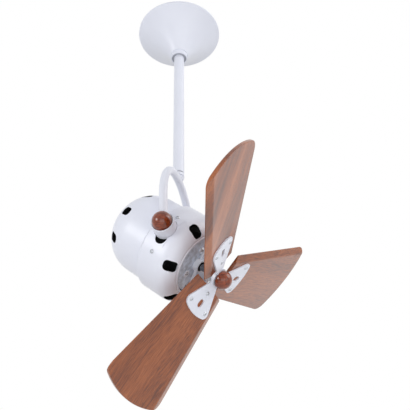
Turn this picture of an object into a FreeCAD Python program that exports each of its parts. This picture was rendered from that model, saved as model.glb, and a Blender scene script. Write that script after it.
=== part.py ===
import FreeCAD, Part
import math
import os
import Sketcher

doc = FreeCAD.newDocument("ceiling_fan")
sheet = doc.addObject("Spreadsheet::Sheet", "dims")

# Driving sizes, in millimetres and degrees.
DIMS = (
    ("pivot_drop", 515.0, "ceiling to tilt axis"),
    ("head_tilt", 41.0, "motor axis below the horizontal"),
    ("run_gap", 0.06, "radial running fit"),
    ("face_gap", 0.3, "gap between faces that move past each other"),
    ("screw_rad", 1.75, "small screw shank radius"),
    ("head_rad", 3.3, "small screw head radius"),
    ("head_high", 2.0, "small screw head height"),
    ("shell_thick", 1.5, "motor shell sheet"),
    ("front_rad", 70.0, "front shell radius"),
    ("front_round", 24.5, "front shell shoulder radius"),
    ("front_face", 44.3, "tilt axis to the front of the shell"),
    ("bead_rad", 1.7, "rolled bead radius"),
    ("lip_land", 3.47, "flat between the shoulder and the bead"),
    ("lip_rad", "=front_rad - front_round * 0.691 - bead_rad * 2 - lip_land", "front opening radius"),
    ("lip_depth", 5.2, "depth of the turned-in lip"),
    ("neck_start", 17.5, "tilt axis to the start of the necked end"),
    ("neck_end", 22.5, "tilt axis to the end of the neck's slope"),
    ("collar_end", 25.5, "tilt axis to the front shell's rear edge"),
    ("rear_step", 5.4, "front shell radius over the rear one"),
    ("rear_rad", "=front_rad - rear_step", "rear shell radius"),
    ("dome_flat", 10.0, "radius of the flat at the dome's end"),
    ("rear_round", "=rear_rad - dome_flat", "rear shell dome radius"),
    ("rear_rim", 14.6, "tilt axis to the rear shell's front edge"),
    ("skirt_long", 44.6, "straight length of the rear shell"),
    ("rear_end", "=rear_rim + skirt_long + rear_round", "tilt axis to the rear end"),
    ("vent_long", 22.0, "front vent length"),
    ("vent_wide", 16.2, "front vent width"),
    ("vent_round", 6.2, "corner radius of the vents"),
    ("vent_lean", 46.0, "front vent direction off the motor axis"),
    ("back_vent_long", 20.0, "rear vent length"),
    ("back_vent_wide", 14.5, "rear vent width"),
    ("back_vent_lean", 116.0, "rear vent direction off the motor axis"),
    ("cup_rad", 17.1, "pivot cup outside radius"),
    ("cup_wall", 1.5, "pivot cup wall"),
    ("cup_inset", 4.0, "how far the cup's foot enters the shell"),
    ("cup_foot", "=front_rad - cup_inset", "centre to the cup's inner face"),
    ("cup_base", 9.6, "thickness of the cup's foot"),
    ("cup_floor", "=cup_foot + cup_base", "centre to the cup's floor"),
    ("cup_long", 20.0, "cup length"),
    ("cup_lip", "=cup_foot + cup_long", "centre to the cup's lip"),
    ("hole_clear", 0.5, "shell opening over the cup"),
    ("pivot_hole", "=cup_rad + hole_clear", "radius of the shell opening at each pivot"),
    ("lobe_rad", 10.0, "radius of the opening's lobe"),
    ("lobe_side", 14.9, "sideways offset of the lobe"),
    ("lobe_fore", 4.75, "forward offset of the lobe"),
    ("pad_half", 15.6, "half length of the pressed pad"),
    ("pad_angle", 44.0, "angle the pressed pad covers"),
    ("pad_rise", 0.6, "height of the pressed pad"),
    ("stud_rad", 5.0, "pivot stud radius"),
    ("insert_wall", 1.5, "threaded insert wall"),
    ("insert_rad", "=stud_rad + insert_wall", "threaded insert radius"),
    ("knob_clear", 0.8, "room between the ball and the cup"),
    ("knob_rad", "=cup_rad - cup_wall - knob_clear", "wooden ball radius"),
    ("knob_proud", 1.0, "ball centre beyond the cup's lip"),
    ("knob_out", "=cup_lip + knob_proud", "centre to the ball's centre"),
    ("frame_clear", 13.0, "shell radius over the motor frame"),
    ("frame_rad", "=front_rad - frame_clear", "motor frame radius"),
    ("frame_wall", 7.0, "motor frame wall"),
    ("frame_back", 14.0, "tilt axis to the back of the frame"),
    ("frame_front", 18.0, "tilt axis to the front of the frame"),
    ("boss_rad", 13.0, "pivot boss radius"),
    ("boss_inset", 6.6, "shell radius over the pivot boss face"),
    ("boss_out", "=front_rad - boss_inset", "centre to the pivot boss face"),
    ("pillar_rad", 5.0, "screw pillar radius"),
    ("stator_rad", "=frame_rad - frame_wall", "stator radius"),
    ("core_wall", 22.0, "stator depth from bore to rim"),
    ("stator_bore", "=stator_rad - core_wall", "stator bore radius"),
    ("air_gap", 0.4, "rotor air gap"),
    ("core_back", 12.0, "tilt axis to the back of the stator"),
    ("core_front", 16.0, "tilt axis to the front of the stator"),
    ("coil_long", 10.0, "length of the winding overhang"),
    ("shield_clear", 1.2, "front opening over the end shield"),
    ("shield_rad", "=lip_rad - shield_clear", "end shield radius"),
    ("shield_recess", 5.8, "front of the shell to the end shield"),
    ("shield_face", "=front_face - shield_recess", "tilt axis to the front shield's face"),
    ("shield_thick", 2.5, "end shield wall"),
    ("post_rad", 5.6, "screw post radius"),
    ("post_rise", 1.3, "screw posts beyond the shield's face"),
    ("shaft_rad", 5.0, "motor shaft radius"),
    ("bush_wall", 2.2, "sleeve bearing wall"),
    ("bearing_rad", "=shaft_rad + bush_wall", "sleeve bearing radius"),
    ("boss_proud", 8.5, "bearing boss beyond the shield's face"),
    ("boss_front", "=shield_face + boss_proud", "tilt axis to the bearing boss's front"),
    ("bush_sunk", 6.5, "front bearing below the boss's front"),
    ("back_shield", 36.0, "tilt axis to the rear shield's face"),
    ("tail_proud", 10.0, "shaft beyond the rear shield"),
    ("shaft_tail", "=back_shield + tail_proud", "tilt axis to the shaft's rear end"),
    ("blade_ahead", 34.0, "bearing boss to the blades' front plane"),
    ("blade_plane", "=boss_front + blade_ahead", "tilt axis to the blades' front plane"),
    ("blade_pitch", 13.6, "blade pitch"),
    ("blade_skew", 7.07, "blade centre line off the pitch axis"),
    ("blade_thick", 6.0, "blade thickness"),
    ("blade_root", 20.0, "axis to the blade's root"),
    ("blade_tip", 214.0, "axis to the blade's tip"),
    ("tip_round", 161.0, "radius of the tip arc"),
    ("root_half", 38.6, "half width at the root"),
    ("tip_half", 71.2, "half width at the leading tip corner"),
    ("trail_half", 68.6, "half width at the trailing tip corner"),
    ("bevel_wide", 11.8, "bevel width, front of the trailing edge"),
    ("bevel_deep", 4.5, "bevel depth, front of the trailing edge"),
    ("back_bevel_wide", 9.0, "bevel width, back of the leading edge"),
    ("back_bevel_deep", 4.9, "bevel depth, back of the leading edge"),
    ("lead_corner", 17.0, "leading tip corner radius"),
    ("trail_corner", 14.0, "trailing tip corner radius"),
    ("root_corner", 1.6, "root corner radius"),
    ("arm_thick", 2.2, "blade holder sheet"),
    ("arm_start", 8.5, "axis to the root of a holder arm"),
    ("arm_neck", 6.2, "half width of a holder arm at its root"),
    ("arm_half", 32.4, "half width of a holder arm at its corners"),
    ("arm_end", 65.0, "axis to the end of a holder arm"),
    ("arm_arc", 75.0, "radius of the arc across an arm's end"),
    ("arm_corner", 8.6, "corner radius of a holder arm"),
    ("hole_edge", 12.4, "outer screws from the arm's end"),
    ("hole_side", 10.9, "outer screws from the arm's side corner"),
    ("hole_back", 35.5, "inner screw from the arm's end"),
    ("window_back", 18.0, "arm window from the arm's end"),
    ("window_long", 13.2, "arm window length"),
    ("window_wide", 9.2, "arm window width"),
    ("hub_rad", 15.0, "holder hub radius"),
    ("hub_half", 2.3, "half thickness of the holder hub"),
    ("hub_front", "=blade_plane + hub_half", "tilt axis to the front of the holder hub"),
    ("hub_back", "=blade_plane - hub_half", "tilt axis to the back of the holder hub"),
    ("shaft_proud", 13.7, "shaft beyond the holder hub"),
    ("shaft_tip", "=hub_front + shaft_proud", "tilt axis to the shaft's front end"),
    ("finial_rad", 13.6, "finial radius"),
    ("finial_neck", 7.4, "radius of the finial's foot"),
    ("finial_long", 19.9, "finial length"),
    ("finial_top", "=hub_front + finial_long", "tilt axis to the finial's tip"),
    ("tube_od", 12.7, "yoke tube outside diameter"),
    ("tube_wall", 1.6, "yoke tube wall"),
    ("yoke_inset", 2.0, "cup lip over the yoke's bend radius"),
    ("yoke_bend", "=cup_lip - yoke_inset", "bend radius of the yoke"),
    ("yoke_splay", 8.5, "inward lean of the arms"),
    ("tail_clear", 26.2, "rear end to the tube's centre at the crown"),
    ("yoke_crown", "=rear_end + tail_clear", "tilt axis to the tube's centre at the crown"),
    ("rod_od", 19.0, "downrod outside diameter"),
    ("rod_wall", 2.0, "downrod wall"),
    ("rod_top", 7.0, "ceiling to rod top"),
    ("stem_rise", 14.6, "crown of the yoke to the stem shoulder"),
    ("stem_shoulder", "=yoke_crown + stem_rise", "tilt axis to the stem shoulder"),
    ("washer_room", 1.4, "stem shoulder to the rod's foot"),
    ("stem_foot", 1.5, "crown of the yoke to the stem's lower end"),
    ("stem_taper", 4.0, "height of the stem's tapered end"),
    ("groove_deep", 1.6, "depth of the groove round the stem"),
    ("groove_high", 1.7, "height of the groove round the stem"),
    ("rod_foot", "=stem_shoulder + washer_room", "tilt axis to rod foot"),
    ("plug_long", 28.0, "swivel plug length"),
    ("spigot_clear", 2.5, "rod bore over the spigot"),
    ("spigot_rad", "=rod_od / 2 - rod_wall - spigot_clear", "swivel spigot radius"),
    ("spigot_proud", 13.0, "spigot beyond the plug"),
    ("spigot_top", "=rod_foot + plug_long + spigot_proud", "tilt axis to the spigot top"),
    ("canopy_rim", 79.6, "canopy rim radius"),
    ("canopy_lip", 4.0, "depth of the upright lip at the rim"),
    ("canopy_depth", 63.0, "ceiling to the top of the neck"),
    ("canopy_bow", 240.0, "hollow radius of the cone's side"),
    ("neck_clear", 5.5, "neck over the rod"),
    ("neck_rad", "=rod_od / 2 + neck_clear", "canopy neck outside radius"),
    ("neck_long", 9.0, "length of the neck"),
    ("neck_foot", "=canopy_depth + neck_long", "ceiling to the neck's lower edge"),
    ("sheet_thick", 1.2, "canopy sheet"),
    ("bracket_len", 96.0, "hanger bracket length"),
    ("bracket_wide", 30.0, "hanger bracket width"),
    ("bracket_thick", 2.5, "hanger bracket sheet"),
    ("ear_room", 7.0, "clear space between the ears over the rod"),
    ("ear_gap", "=rod_od + ear_room", "clear space between the ears"),
    ("ear_drop", 34.0, "ceiling to the lower edge of the ears"),
    ("slot_inset", 26.0, "bracket length over the slot spacing"),
    ("slot_pitch", "=bracket_len - slot_inset", "spacing of the ceiling slots"),
    ("slot_wide", 5.5, "ceiling slot width"),
    ("slot_long", 14.0, "ceiling slot length"),
    ("bolt_rad", 3.0, "hanger bolt radius"),
    ("bolt_level", 22.0, "ceiling to hanger bolt"),
    ("bolt_hex", 5.0, "hanger bolt head, half across flats"),
)
for row, (alias, value, note) in enumerate(DIMS, start=1):
    sheet.set("A%d" % row, note)
    sheet.set("B%d" % row, str(value))
    sheet.setAlias("B%d" % row, alias)
doc.recompute()
VALUES = {}
for alias, value, note in DIMS:
    VALUES[alias] = float(sheet.get(alias))

# Angles round the motor axis, read off the vents, screws and blades.
FRONT_VENT_START = 8.5
FRONT_VENTS = 6
BACK_VENT_START = 4.7
BACK_VENTS = 8
SHELL_SCREW_ANGLES = (-57.5, -110.3, 57.5, 110.3)
SHELL_SCREW_LEVEL = 2.0
SHIELD_SCREW_ANGLE = -16.0
RIB_ANGLE = 34.0
WIRE_HOLE_ANGLE = 24.6
BLADE_ANGLES = (("blade_top", -123.8), ("blade_right", 116.2), ("blade_low", -3.8))


class Size:
    """A number kept together with the sheet expression it comes from."""

    def __init__(self, value, text):
        self.value = float(value)
        self.text = text

    def __add__(self, other):
        other = as_size(other)
        return Size(self.value + other.value, "(%s + %s)" % (self.text, other.text))

    def __sub__(self, other):
        other = as_size(other)
        return Size(self.value - other.value, "(%s - %s)" % (self.text, other.text))

    def __mul__(self, other):
        other = as_size(other)
        return Size(self.value * other.value, "(%s * %s)" % (self.text, other.text))

    def __truediv__(self, other):
        other = as_size(other)
        return Size(self.value / other.value, "(%s / %s)" % (self.text, other.text))

    def __neg__(self):
        return Size(-self.value, "(0 - %s)" % self.text)

    def __radd__(self, other):
        return as_size(other) + self

    def __rsub__(self, other):
        return as_size(other) - self

    def __rmul__(self, other):
        return as_size(other) * self


def as_size(item):
    """Turn a plain number into a Size."""
    if isinstance(item, Size):
        return item
    return Size(item, "(%.6f)" % item)


def dim(alias):
    """Size held in the sheet under this alias."""
    return Size(VALUES[alias], "dims." + alias)


def root(item):
    """Square root of a Size."""
    return Size(math.sqrt(item.value), "sqrt(%s)" % item.text)


def sine(item):
    """Sine of a Size in degrees."""
    return Size(math.sin(math.radians(item.value)), "sin(%s * 1 deg)" % item.text)


def cosine(item):
    """Cosine of a Size in degrees."""
    return Size(math.cos(math.radians(item.value)), "cos(%s * 1 deg)" % item.text)


def bind(thing, path, item):
    """Tie a property to the sheet."""
    thing.setExpression(path, as_size(item).text)


VEC = FreeCAD.Vector
TURN = FreeCAD.Rotation
PLACE = FreeCAD.Placement
AXIS_X = VEC(1, 0, 0)
AXIS_Y = VEC(0, 1, 0)
AXIS_Z = VEC(0, 0, 1)
STILL = TURN()
PLANE_TURNS = {
    "XY": PLACE(VEC(), STILL),
    "XZ": PLACE(VEC(), TURN(AXIS_X, 90)),
    "YZ": PLACE(VEC(), TURN(VEC(1, 1, 1), 120)),
}
parts = []


def new_body(name, place):
    """Body for one named piece, put where the piece sits."""
    body = doc.addObject("PartDesign::Body", name)
    body.Label = name
    body.Placement = place
    parts.append(body)
    return body


def origin_part(body, role):
    """Origin plane or axis of a body by its role."""
    for feature in body.Origin.OriginFeatures:
        if feature.Role == role:
            return feature
    raise ValueError(role)


def new_sketch(body, role, place=None, lift=None):
    """Sketch on an origin plane, lifted off it or set at a full placement."""
    sketch = body.newObject("Sketcher::SketchObject", body.Name + "_sketch")
    sketch.AttachmentSupport = [(origin_part(body, role + "_Plane"), "")]
    sketch.MapMode = "FlatFace"
    if place is not None:
        sketch.AttachmentOffset = PLANE_TURNS[role].inverse() * place
    if lift is not None:
        sketch.AttachmentOffset = PLACE(VEC(0, 0, as_size(lift).value), STILL)
        bind(sketch, "AttachmentOffset.Base.z", lift)
    return sketch


def flat(point):
    """Plane vector of a sketch point."""
    return VEC(as_size(point[0]).value, as_size(point[1]).value, 0)


def fix_point(sketch, geometry, position, point):
    """Hold a sketch point at its two sizes, measured from the sketch origin."""
    for kind, item in (("DistanceX", point[0]), ("DistanceY", point[1])):
        item = as_size(item)
        rule = Sketcher.Constraint(kind, -1, 1, geometry, position, item.value)
        number = sketch.addConstraint(rule)
        label = "size_%d" % number
        sketch.renameConstraint(number, label)
        bind(sketch, "Constraints." + label, item)


def fix_radius(sketch, geometry, item):
    """Hold a circle or arc radius."""
    item = as_size(item)
    number = sketch.addConstraint(Sketcher.Constraint("Radius", geometry, item.value))
    label = "size_%d" % number
    sketch.renameConstraint(number, label)
    bind(sketch, "Constraints." + label, item)


def add_edge(sketch, point, following):
    """Line to the next point, or an arc when the point carries a radius and a turn."""
    start = flat(point)
    end = flat(following)
    if len(point) == 2:
        return sketch.addGeometry(Part.LineSegment(start, end), False), 1, 2
    radius = as_size(point[2]).value
    turn = point[3]
    chord = end - start
    half = chord.Length / 2
    rise = math.sqrt(max(radius * radius - half * half, 0.0))
    left = VEC(-chord.y, chord.x, 0)
    left.normalize()
    centre = (start + end) * 0.5 + left * (rise * turn)
    first, last = (start, end) if turn > 0 else (end, start)
    angle_a = math.atan2(first.y - centre.y, first.x - centre.x)
    angle_b = math.atan2(last.y - centre.y, last.x - centre.x)
    if angle_b < angle_a:
        angle_b += 2 * math.pi
    arc = Part.ArcOfCircle(Part.Circle(centre, AXIS_Z, radius), angle_a, angle_b)
    geometry = sketch.addGeometry(arc, False)
    if turn > 0:
        return geometry, 1, 2
    return geometry, 2, 1


def outline(sketch, points, closed=True):
    """Outline through points given by sizes, with arcs where a point carries a radius."""
    count = len(points)
    edges = []
    spans = count if closed else count - 1
    for index in range(spans):
        edges.append(add_edge(sketch, points[index], points[(index + 1) % count]))
    joins = spans if closed else spans - 1
    for index in range(joins):
        geometry, _, tail = edges[index]
        following, nose, _ = edges[(index + 1) % spans]
        sketch.addConstraint(Sketcher.Constraint("Coincident", geometry, tail, following, nose))
    for index in range(spans):
        fix_point(sketch, edges[index][0], edges[index][1], points[index])
        if len(points[index]) > 2:
            fix_radius(sketch, edges[index][0], points[index][2])
    if not closed:
        fix_point(sketch, edges[-1][0], edges[-1][2], points[-1])


def disc(sketch, point, radius):
    """Circle held by its centre and radius."""
    circle = Part.Circle(flat(point), AXIS_Z, as_size(radius).value)
    geometry = sketch.addGeometry(circle, False)
    fix_point(sketch, geometry, 3, point)
    fix_radius(sketch, geometry, radius)


def oblong(sketch, point, long, wide):
    """Round-ended slot along the sketch's first axis."""
    reach = (as_size(long) - wide) / 2
    half = as_size(wide) / 2
    ends = []
    for side in (-1, 1):
        centre = (as_size(point[0]) + reach * side, as_size(point[1]))
        spread = (math.pi / 2, 3 * math.pi / 2) if side < 0 else (-math.pi / 2, math.pi / 2)
        arc = Part.ArcOfCircle(Part.Circle(flat(centre), AXIS_Z, half.value), *spread)
        geometry = sketch.addGeometry(arc, False)
        fix_point(sketch, geometry, 3, centre)
        ends.append((geometry, centre))
    top = VEC(0, half.value, 0)
    left, right = flat(ends[0][1]), flat(ends[1][1])
    upper = sketch.addGeometry(Part.LineSegment(right + top, left + top), False)
    lower = sketch.addGeometry(Part.LineSegment(left - top, right - top), False)
    joins = ((upper, 2, ends[0][0], 1), (ends[0][0], 2, lower, 1),
             (lower, 2, ends[1][0], 1), (ends[1][0], 2, upper, 1))
    for join in joins:
        sketch.addConstraint(Sketcher.Constraint("Tangent", *join))
    fix_radius(sketch, ends[0][0], half)


def rounded_box(sketch, long, wide, corner):
    """Rectangle about the sketch origin with rounded corners."""
    end = as_size(long) / 2
    side = as_size(wide) / 2
    run = end - corner
    rise = side - corner
    outline(sketch, [(-run, -side), (run, -side, corner, 1), (end, -rise), (end, rise, corner, 1),
                     (run, side), (-run, side, corner, 1), (-end, rise), (-end, -rise, corner, 1)])


def hexagon(sketch, half_flat):
    """Hexagon about the sketch origin by half its width across flats."""
    corner = as_size(half_flat) * (2 / math.sqrt(3))
    points = []
    for index in range(6):
        angle = math.radians(60 * index)
        points.append((corner * math.cos(angle), corner * math.sin(angle)))
    outline(sketch, points)


def finish_feature(body, feature, grows):
    """Recompute and see that the feature added or removed material."""
    before = body.Shape.Volume if not body.Shape.isNull() else 0.0
    doc.recompute()
    after = body.Shape.Volume
    if (after > before) != grows:
        raise RuntimeError("%s: volume %.1f to %.1f" % (feature.Name, before, after))
    return feature


def extrude(body, sketch, length, cut=False, both=False, reverse=False):
    """Pad or pocket of a sketch."""
    kind = "PartDesign::Pocket" if cut else "PartDesign::Pad"
    feature = body.newObject(kind, body.Name + ("_cut" if cut else "_pad"))
    feature.Profile = sketch
    feature.Length = as_size(length).value
    bind(feature, "Length", length)
    if both:
        feature.SideType = "Symmetric"
    feature.Reversed = reverse
    sketch.Visibility = False
    return finish_feature(body, feature, not cut)


def revolve(body, sketch, axis="V_Axis", cut=False, angle=None):
    """Revolution or groove about a sketch axis, all the way round or centred on the sketch."""
    kind = "PartDesign::Groove" if cut else "PartDesign::Revolution"
    feature = body.newObject(kind, body.Name + ("_groove" if cut else "_turned"))
    feature.Profile = sketch
    feature.ReferenceAxis = (sketch, [axis])
    feature.Angle = 360.0
    if angle is not None:
        feature.Midplane = True
        feature.Angle = as_size(angle).value
        bind(feature, "Angle", angle)
    sketch.Visibility = False
    return finish_feature(body, feature, not cut)


def repeat(body, features, count, grows):
    """Copies of features round the body's upright axis."""
    feature = body.newObject("PartDesign::PolarPattern", body.Name + "_ring")
    feature.Originals = features
    feature.Axis = (origin_part(body, "Z_Axis"), [""])
    feature.Angle = 360.0
    feature.Occurrences = count
    body.Tip = feature
    return finish_feature(body, feature, grows)


def round_edges(body, feature, radius, test):
    """Fillet the edges that pass the test."""
    names = []
    for number, edge in enumerate(feature.Shape.Edges, start=1):
        if test(edge):
            names.append("Edge%d" % number)
    fillet = body.newObject("PartDesign::Fillet", body.Name + "_round")
    fillet.Base = (feature, names)
    fillet.Radius = as_size(radius).value
    bind(fillet, "Radius", radius)
    doc.recompute()
    return fillet


def upright_at(across, along):
    """Test for an upright edge near a point of the plan."""
    goal = VEC(as_size(across).value, as_size(along).value, 0)

    def passes(edge):
        box = edge.BoundBox
        if box.XLength > 0.01 or box.YLength > 0.01:
            return False
        return (VEC(box.Center.x, box.Center.y, 0) - goal).Length < 0.5

    return passes


def turned(name, place, points, role="XZ", axis="V_Axis"):
    """Piece turned from one closed profile."""
    body = new_body(name, place)
    sketch = new_sketch(body, role)
    outline(sketch, points)
    revolve(body, sketch, axis)
    return body


def ring_points(inner, outer, low, high):
    """Profile of a plain ring."""
    return [(inner, low), (outer, low), (outer, high), (inner, high)]


def mirrored(points):
    """Profile points mirrored end for end along the first axis."""
    flipped = []
    for point in points:
        if len(point) == 2:
            flipped.append((-as_size(point[0]), point[1]))
        else:
            flipped.append((-as_size(point[0]), point[1], point[2], -point[3]))
    return flipped


def radial_place(angle):
    """Sketch placement whose normal points outward at an angle round the motor axis."""
    return PLACE(VEC(), TURN(AXIS_Z, angle)) * PLANE_TURNS["YZ"]


CEILING = PLACE(VEC(), STILL)
ARM_SCREWS = (
    (dim("arm_end") - dim("hole_edge"), dim("hole_side") - dim("arm_half")),
    (dim("arm_end") - dim("hole_edge"), dim("arm_half") - dim("hole_side")),
    (dim("arm_end") - dim("hole_back"), as_size(0.0)),
)
PIVOT = VEC(0, 0, -VALUES["pivot_drop"])
YOKE = PLACE(PIVOT, STILL)
HEAD = PLACE(PIVOT, TURN(AXIS_Y, 90 + VALUES["head_tilt"]))
HALF = 0.5
rod_rad = dim("rod_od") * HALF
rod_bore = rod_rad - dim("rod_wall")
tube_rad = dim("tube_od") * HALF
gap = dim("face_gap")
fit = dim("run_gap")


def make_bracket():
    """Pressed hanger bracket with two ears and two ceiling slots."""
    body = new_body("hanger_bracket", CEILING)
    half = dim("bracket_len") * HALF
    sheet_low = -dim("bracket_thick")
    ear_in = dim("ear_gap") * HALF
    ear_out = ear_in + dim("bracket_thick")
    foot = -dim("ear_drop")
    sketch = new_sketch(body, "XZ")
    outline(sketch, [
        (-half, sheet_low), (-ear_out, sheet_low), (-ear_out, foot), (-ear_in, foot),
        (-ear_in, sheet_low), (ear_in, sheet_low), (ear_in, foot), (ear_out, foot),
        (ear_out, sheet_low), (half, sheet_low), (half, 0.0), (-half, 0.0)])
    extrude(body, sketch, dim("bracket_wide"), both=True)
    slots = new_sketch(body, "XY")
    for side in (-1, 1):
        oblong(slots, (dim("slot_pitch") * (HALF * side), 0.0), dim("slot_long"), dim("slot_wide"))
    extrude(body, slots, dim("bracket_thick") * 4, cut=True, both=True)
    bolt_hole = new_sketch(body, "YZ")
    disc(bolt_hole, (0.0, -dim("bolt_level")), dim("bolt_rad") + 0.2)
    extrude(body, bolt_hole, dim("bracket_len"), cut=True, both=True)


def make_hanger_bolt():
    """Cross bolt, its nut and the two nylon spacers."""
    level = PLACE(VEC(0, 0, -VALUES["bolt_level"]), STILL)
    ear_out = dim("ear_gap") * HALF + dim("bracket_thick")
    bolt = new_body("hanger_bolt", level)
    head = new_sketch(bolt, "YZ", lift=ear_out)
    hexagon(head, dim("bolt_hex"))
    extrude(bolt, head, 4.0)
    shank = new_sketch(bolt, "YZ", lift=ear_out)
    disc(shank, (0.0, 0.0), dim("bolt_rad"))
    extrude(bolt, shank, ear_out * 2 + 8.0, reverse=True)
    nut = new_body("hanger_nut", level)
    sketch = new_sketch(nut, "YZ", lift=-ear_out)
    hexagon(sketch, dim("bolt_hex"))
    disc(sketch, (0.0, 0.0), dim("bolt_rad"))
    extrude(nut, sketch, 5.0, reverse=True)
    bushes = new_body("hanger_bushes", level)
    inner = rod_rad + 0.1
    outer = dim("ear_gap") * HALF
    for side in (-1, 1):
        sketch = new_sketch(bushes, "XZ")
        outline(sketch, [(inner * side, dim("bolt_rad") + 0.1), (outer * side, dim("bolt_rad") + 0.1),
                         (outer * side, 8.0), (inner * side, 8.0)])
        revolve(bushes, sketch, "H_Axis")


def make_rod():
    """Downrod with its cross hole, and the plug pressed into its foot."""
    foot = dim("rod_foot") - dim("pivot_drop")
    body = turned("downrod", CEILING, [
        (rod_bore, foot), (rod_rad - 0.7, foot), (rod_rad, foot + 0.9), (rod_rad, -dim("rod_top")),
        (rod_bore, -dim("rod_top"))])
    hole = new_sketch(body, "YZ")
    disc(hole, (0.0, -dim("bolt_level")), dim("bolt_rad") + 0.2)
    extrude(body, hole, dim("rod_od") * 2, cut=True, both=True)
    turned("swivel_plug", CEILING,
           ring_points(dim("spigot_rad") + fit, rod_bore, foot, foot + dim("plug_long")))


def make_canopy():
    """Spun cone with an upright lip, a beaded neck and the rubber ring inside it."""
    skin = dim("sheet_thick")
    rim = dim("canopy_rim")
    neck = dim("neck_rad")
    lip = -dim("canopy_lip")
    shoulder = -dim("canopy_depth")
    foot = -dim("neck_foot")
    bead = foot + 2.0
    turned("canopy", CEILING, [
        (rim - skin, -0.4), (rim - skin, lip + 0.8, dim("canopy_bow"), 1),
        (neck - skin, shoulder + 0.4), (neck - skin, foot), (neck, foot), (neck, bead - 1.4, 1.5, 1),
        (neck, bead + 1.4), (neck, shoulder),
        (neck + 1.6, shoulder + 0.5, dim("canopy_bow") - skin, -1), (rim, lip), (rim, -0.4)])
    turned("canopy_grip_ring", CEILING, ring_points(rod_rad, neck - skin, foot + 1.2, foot + 8.4))


def make_swivel():
    """Stem coped over the yoke tube, with washer, friction spring and nut on its spigot."""
    crown = dim("yoke_crown")
    shoulder = dim("stem_shoulder")
    spigot = dim("spigot_rad")
    low = crown + dim("stem_foot")
    groove = crown + tube_rad + 0.4
    groove_top = groove + dim("groove_high")
    waist = rod_rad - dim("groove_deep")
    skirt = rod_rad - 0.3
    body = turned("swivel_stem", YOKE, [
        (spigot * HALF, low), (tube_rad + 0.6, low), (skirt, low + dim("stem_taper")), (skirt, groove),
        (waist, groove), (waist, groove_top), (rod_rad, groove_top), (rod_rad, shoulder - 0.8),
        (rod_rad - 0.8, shoulder), (spigot, shoulder), (spigot, dim("spigot_top")),
        (spigot * HALF, dim("spigot_top"))])
    bend_centre = VEC(0, 0, (crown - dim("yoke_bend")).value)
    saddle = new_sketch(body, "XZ", place=PLACE(bend_centre, TURN(AXIS_X, 90)))
    disc(saddle, (0.0, dim("yoke_bend")), tube_rad)
    revolve(body, saddle, "H_Axis", cut=True)
    foot = dim("rod_foot")
    turned("swivel_washer", YOKE, ring_points(spigot + 0.1, rod_rad - 1.3, shoulder, foot - gap))
    rise = foot + dim("plug_long") + gap
    turned("swivel_spring", YOKE, [
        (spigot + 0.1, rise + 1.1), (rod_bore - gap, rise), (rod_bore - gap, rise + 0.9),
        (spigot + 0.1, rise + 2.0)])
    nut = new_body("swivel_nut", YOKE)
    sketch = new_sketch(nut, "XY", lift=rise + 2.0)
    hexagon(sketch, (rod_bore - gap) * 0.86)
    disc(sketch, (0.0, 0.0), spigot)
    extrude(nut, sketch, 6.0)


def make_yoke():
    """Bent tube: two leaning arms joined by one bend, ends coped to the cups."""
    body = new_body("yoke_tube", YOKE)
    bend = dim("yoke_bend")
    splay = dim("yoke_splay")
    middle = dim("yoke_crown") - bend
    out_y = bend * cosine(splay)
    out_z = middle - bend * sine(splay)
    end_z = as_size(7.0)
    end_y = out_y - (out_z - end_z) * sine(splay) / cosine(splay)
    path = new_sketch(body, "YZ")
    outline(path, [(end_y, end_z), (out_y, out_z, bend, 1), (0.0, dim("yoke_crown"), bend, 1),
                   (-out_y, out_z), (-end_y, end_z)], closed=False)
    lean = PLACE(VEC(0, end_y.value, end_z.value), TURN(AXIS_X, -VALUES["yoke_splay"]))
    section = new_sketch(body, "XY", place=lean)
    disc(section, (0.0, 0.0), tube_rad)
    disc(section, (0.0, 0.0), tube_rad - dim("tube_wall"))
    doc.recompute()
    pipe = body.newObject("PartDesign::AdditivePipe", "yoke_tube_bent")
    pipe.Profile = section
    pipe.Spine = (path, ["Edge%d" % number for number in range(1, 5)])
    path.Visibility = False
    finish_feature(body, pipe, True)
    cope = new_sketch(body, "XZ")
    disc(cope, (0.0, 0.0), dim("cup_rad"))
    extrude(body, cope, dim("cup_lip") * 4, cut=True, both=True)


def make_pivots():
    """Cups, ball knobs with inserts, studs and friction washers on the tilt axis."""
    lip = dim("cup_lip")
    floor = dim("cup_floor")
    foot = dim("cup_foot")
    outer = dim("cup_rad")
    bore = dim("stud_rad") + fit
    cup = [(lip, outer - dim("cup_wall")), (lip, outer - 0.5), (lip - 0.5, outer), (foot, outer),
           (foot, bore), (floor, bore), (floor, outer - dim("cup_wall"))]
    ball = dim("knob_rad")
    middle = dim("knob_out")
    flat_end = floor + gap
    reach = middle - flat_end
    flat_rad = root(ball * ball - reach * reach)
    depth = middle + 2.5
    knob = [(flat_end, dim("insert_rad")), (flat_end, flat_rad, ball, -1), (middle + ball, 0.0),
            (depth, 0.0), (depth, dim("insert_rad"))]
    insert = [(flat_end, bore), (flat_end, dim("insert_rad")), (depth, dim("insert_rad")), (depth, bore)]
    stud_in = dim("stator_rad") + 0.5
    stud = [(stud_in, 0.0), (stud_in, dim("stud_rad")), (middle + 1.0, dim("stud_rad")), (middle + 1.0, 0.0)]
    for word, flip in (("near", True), ("far", False)):
        for name, place, points in (("pivot_cup_", YOKE, cup), ("knob_", HEAD, knob),
                                    ("knob_insert_", HEAD, insert), ("pivot_stud_", HEAD, stud)):
            turned(name + word, place, mirrored(points) if flip else points, "YZ", "H_Axis")
    washer = [(dim("boss_out"), bore + 0.1), (foot - gap, bore + 0.1),
              (foot - gap, dim("boss_rad")), (dim("boss_out"), dim("boss_rad"))]
    body = new_body("friction_washers", HEAD)
    for points in (washer, mirrored(washer)):
        sketch = new_sketch(body, "YZ")
        outline(sketch, points)
        revolve(body, sketch, "H_Axis")


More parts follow.
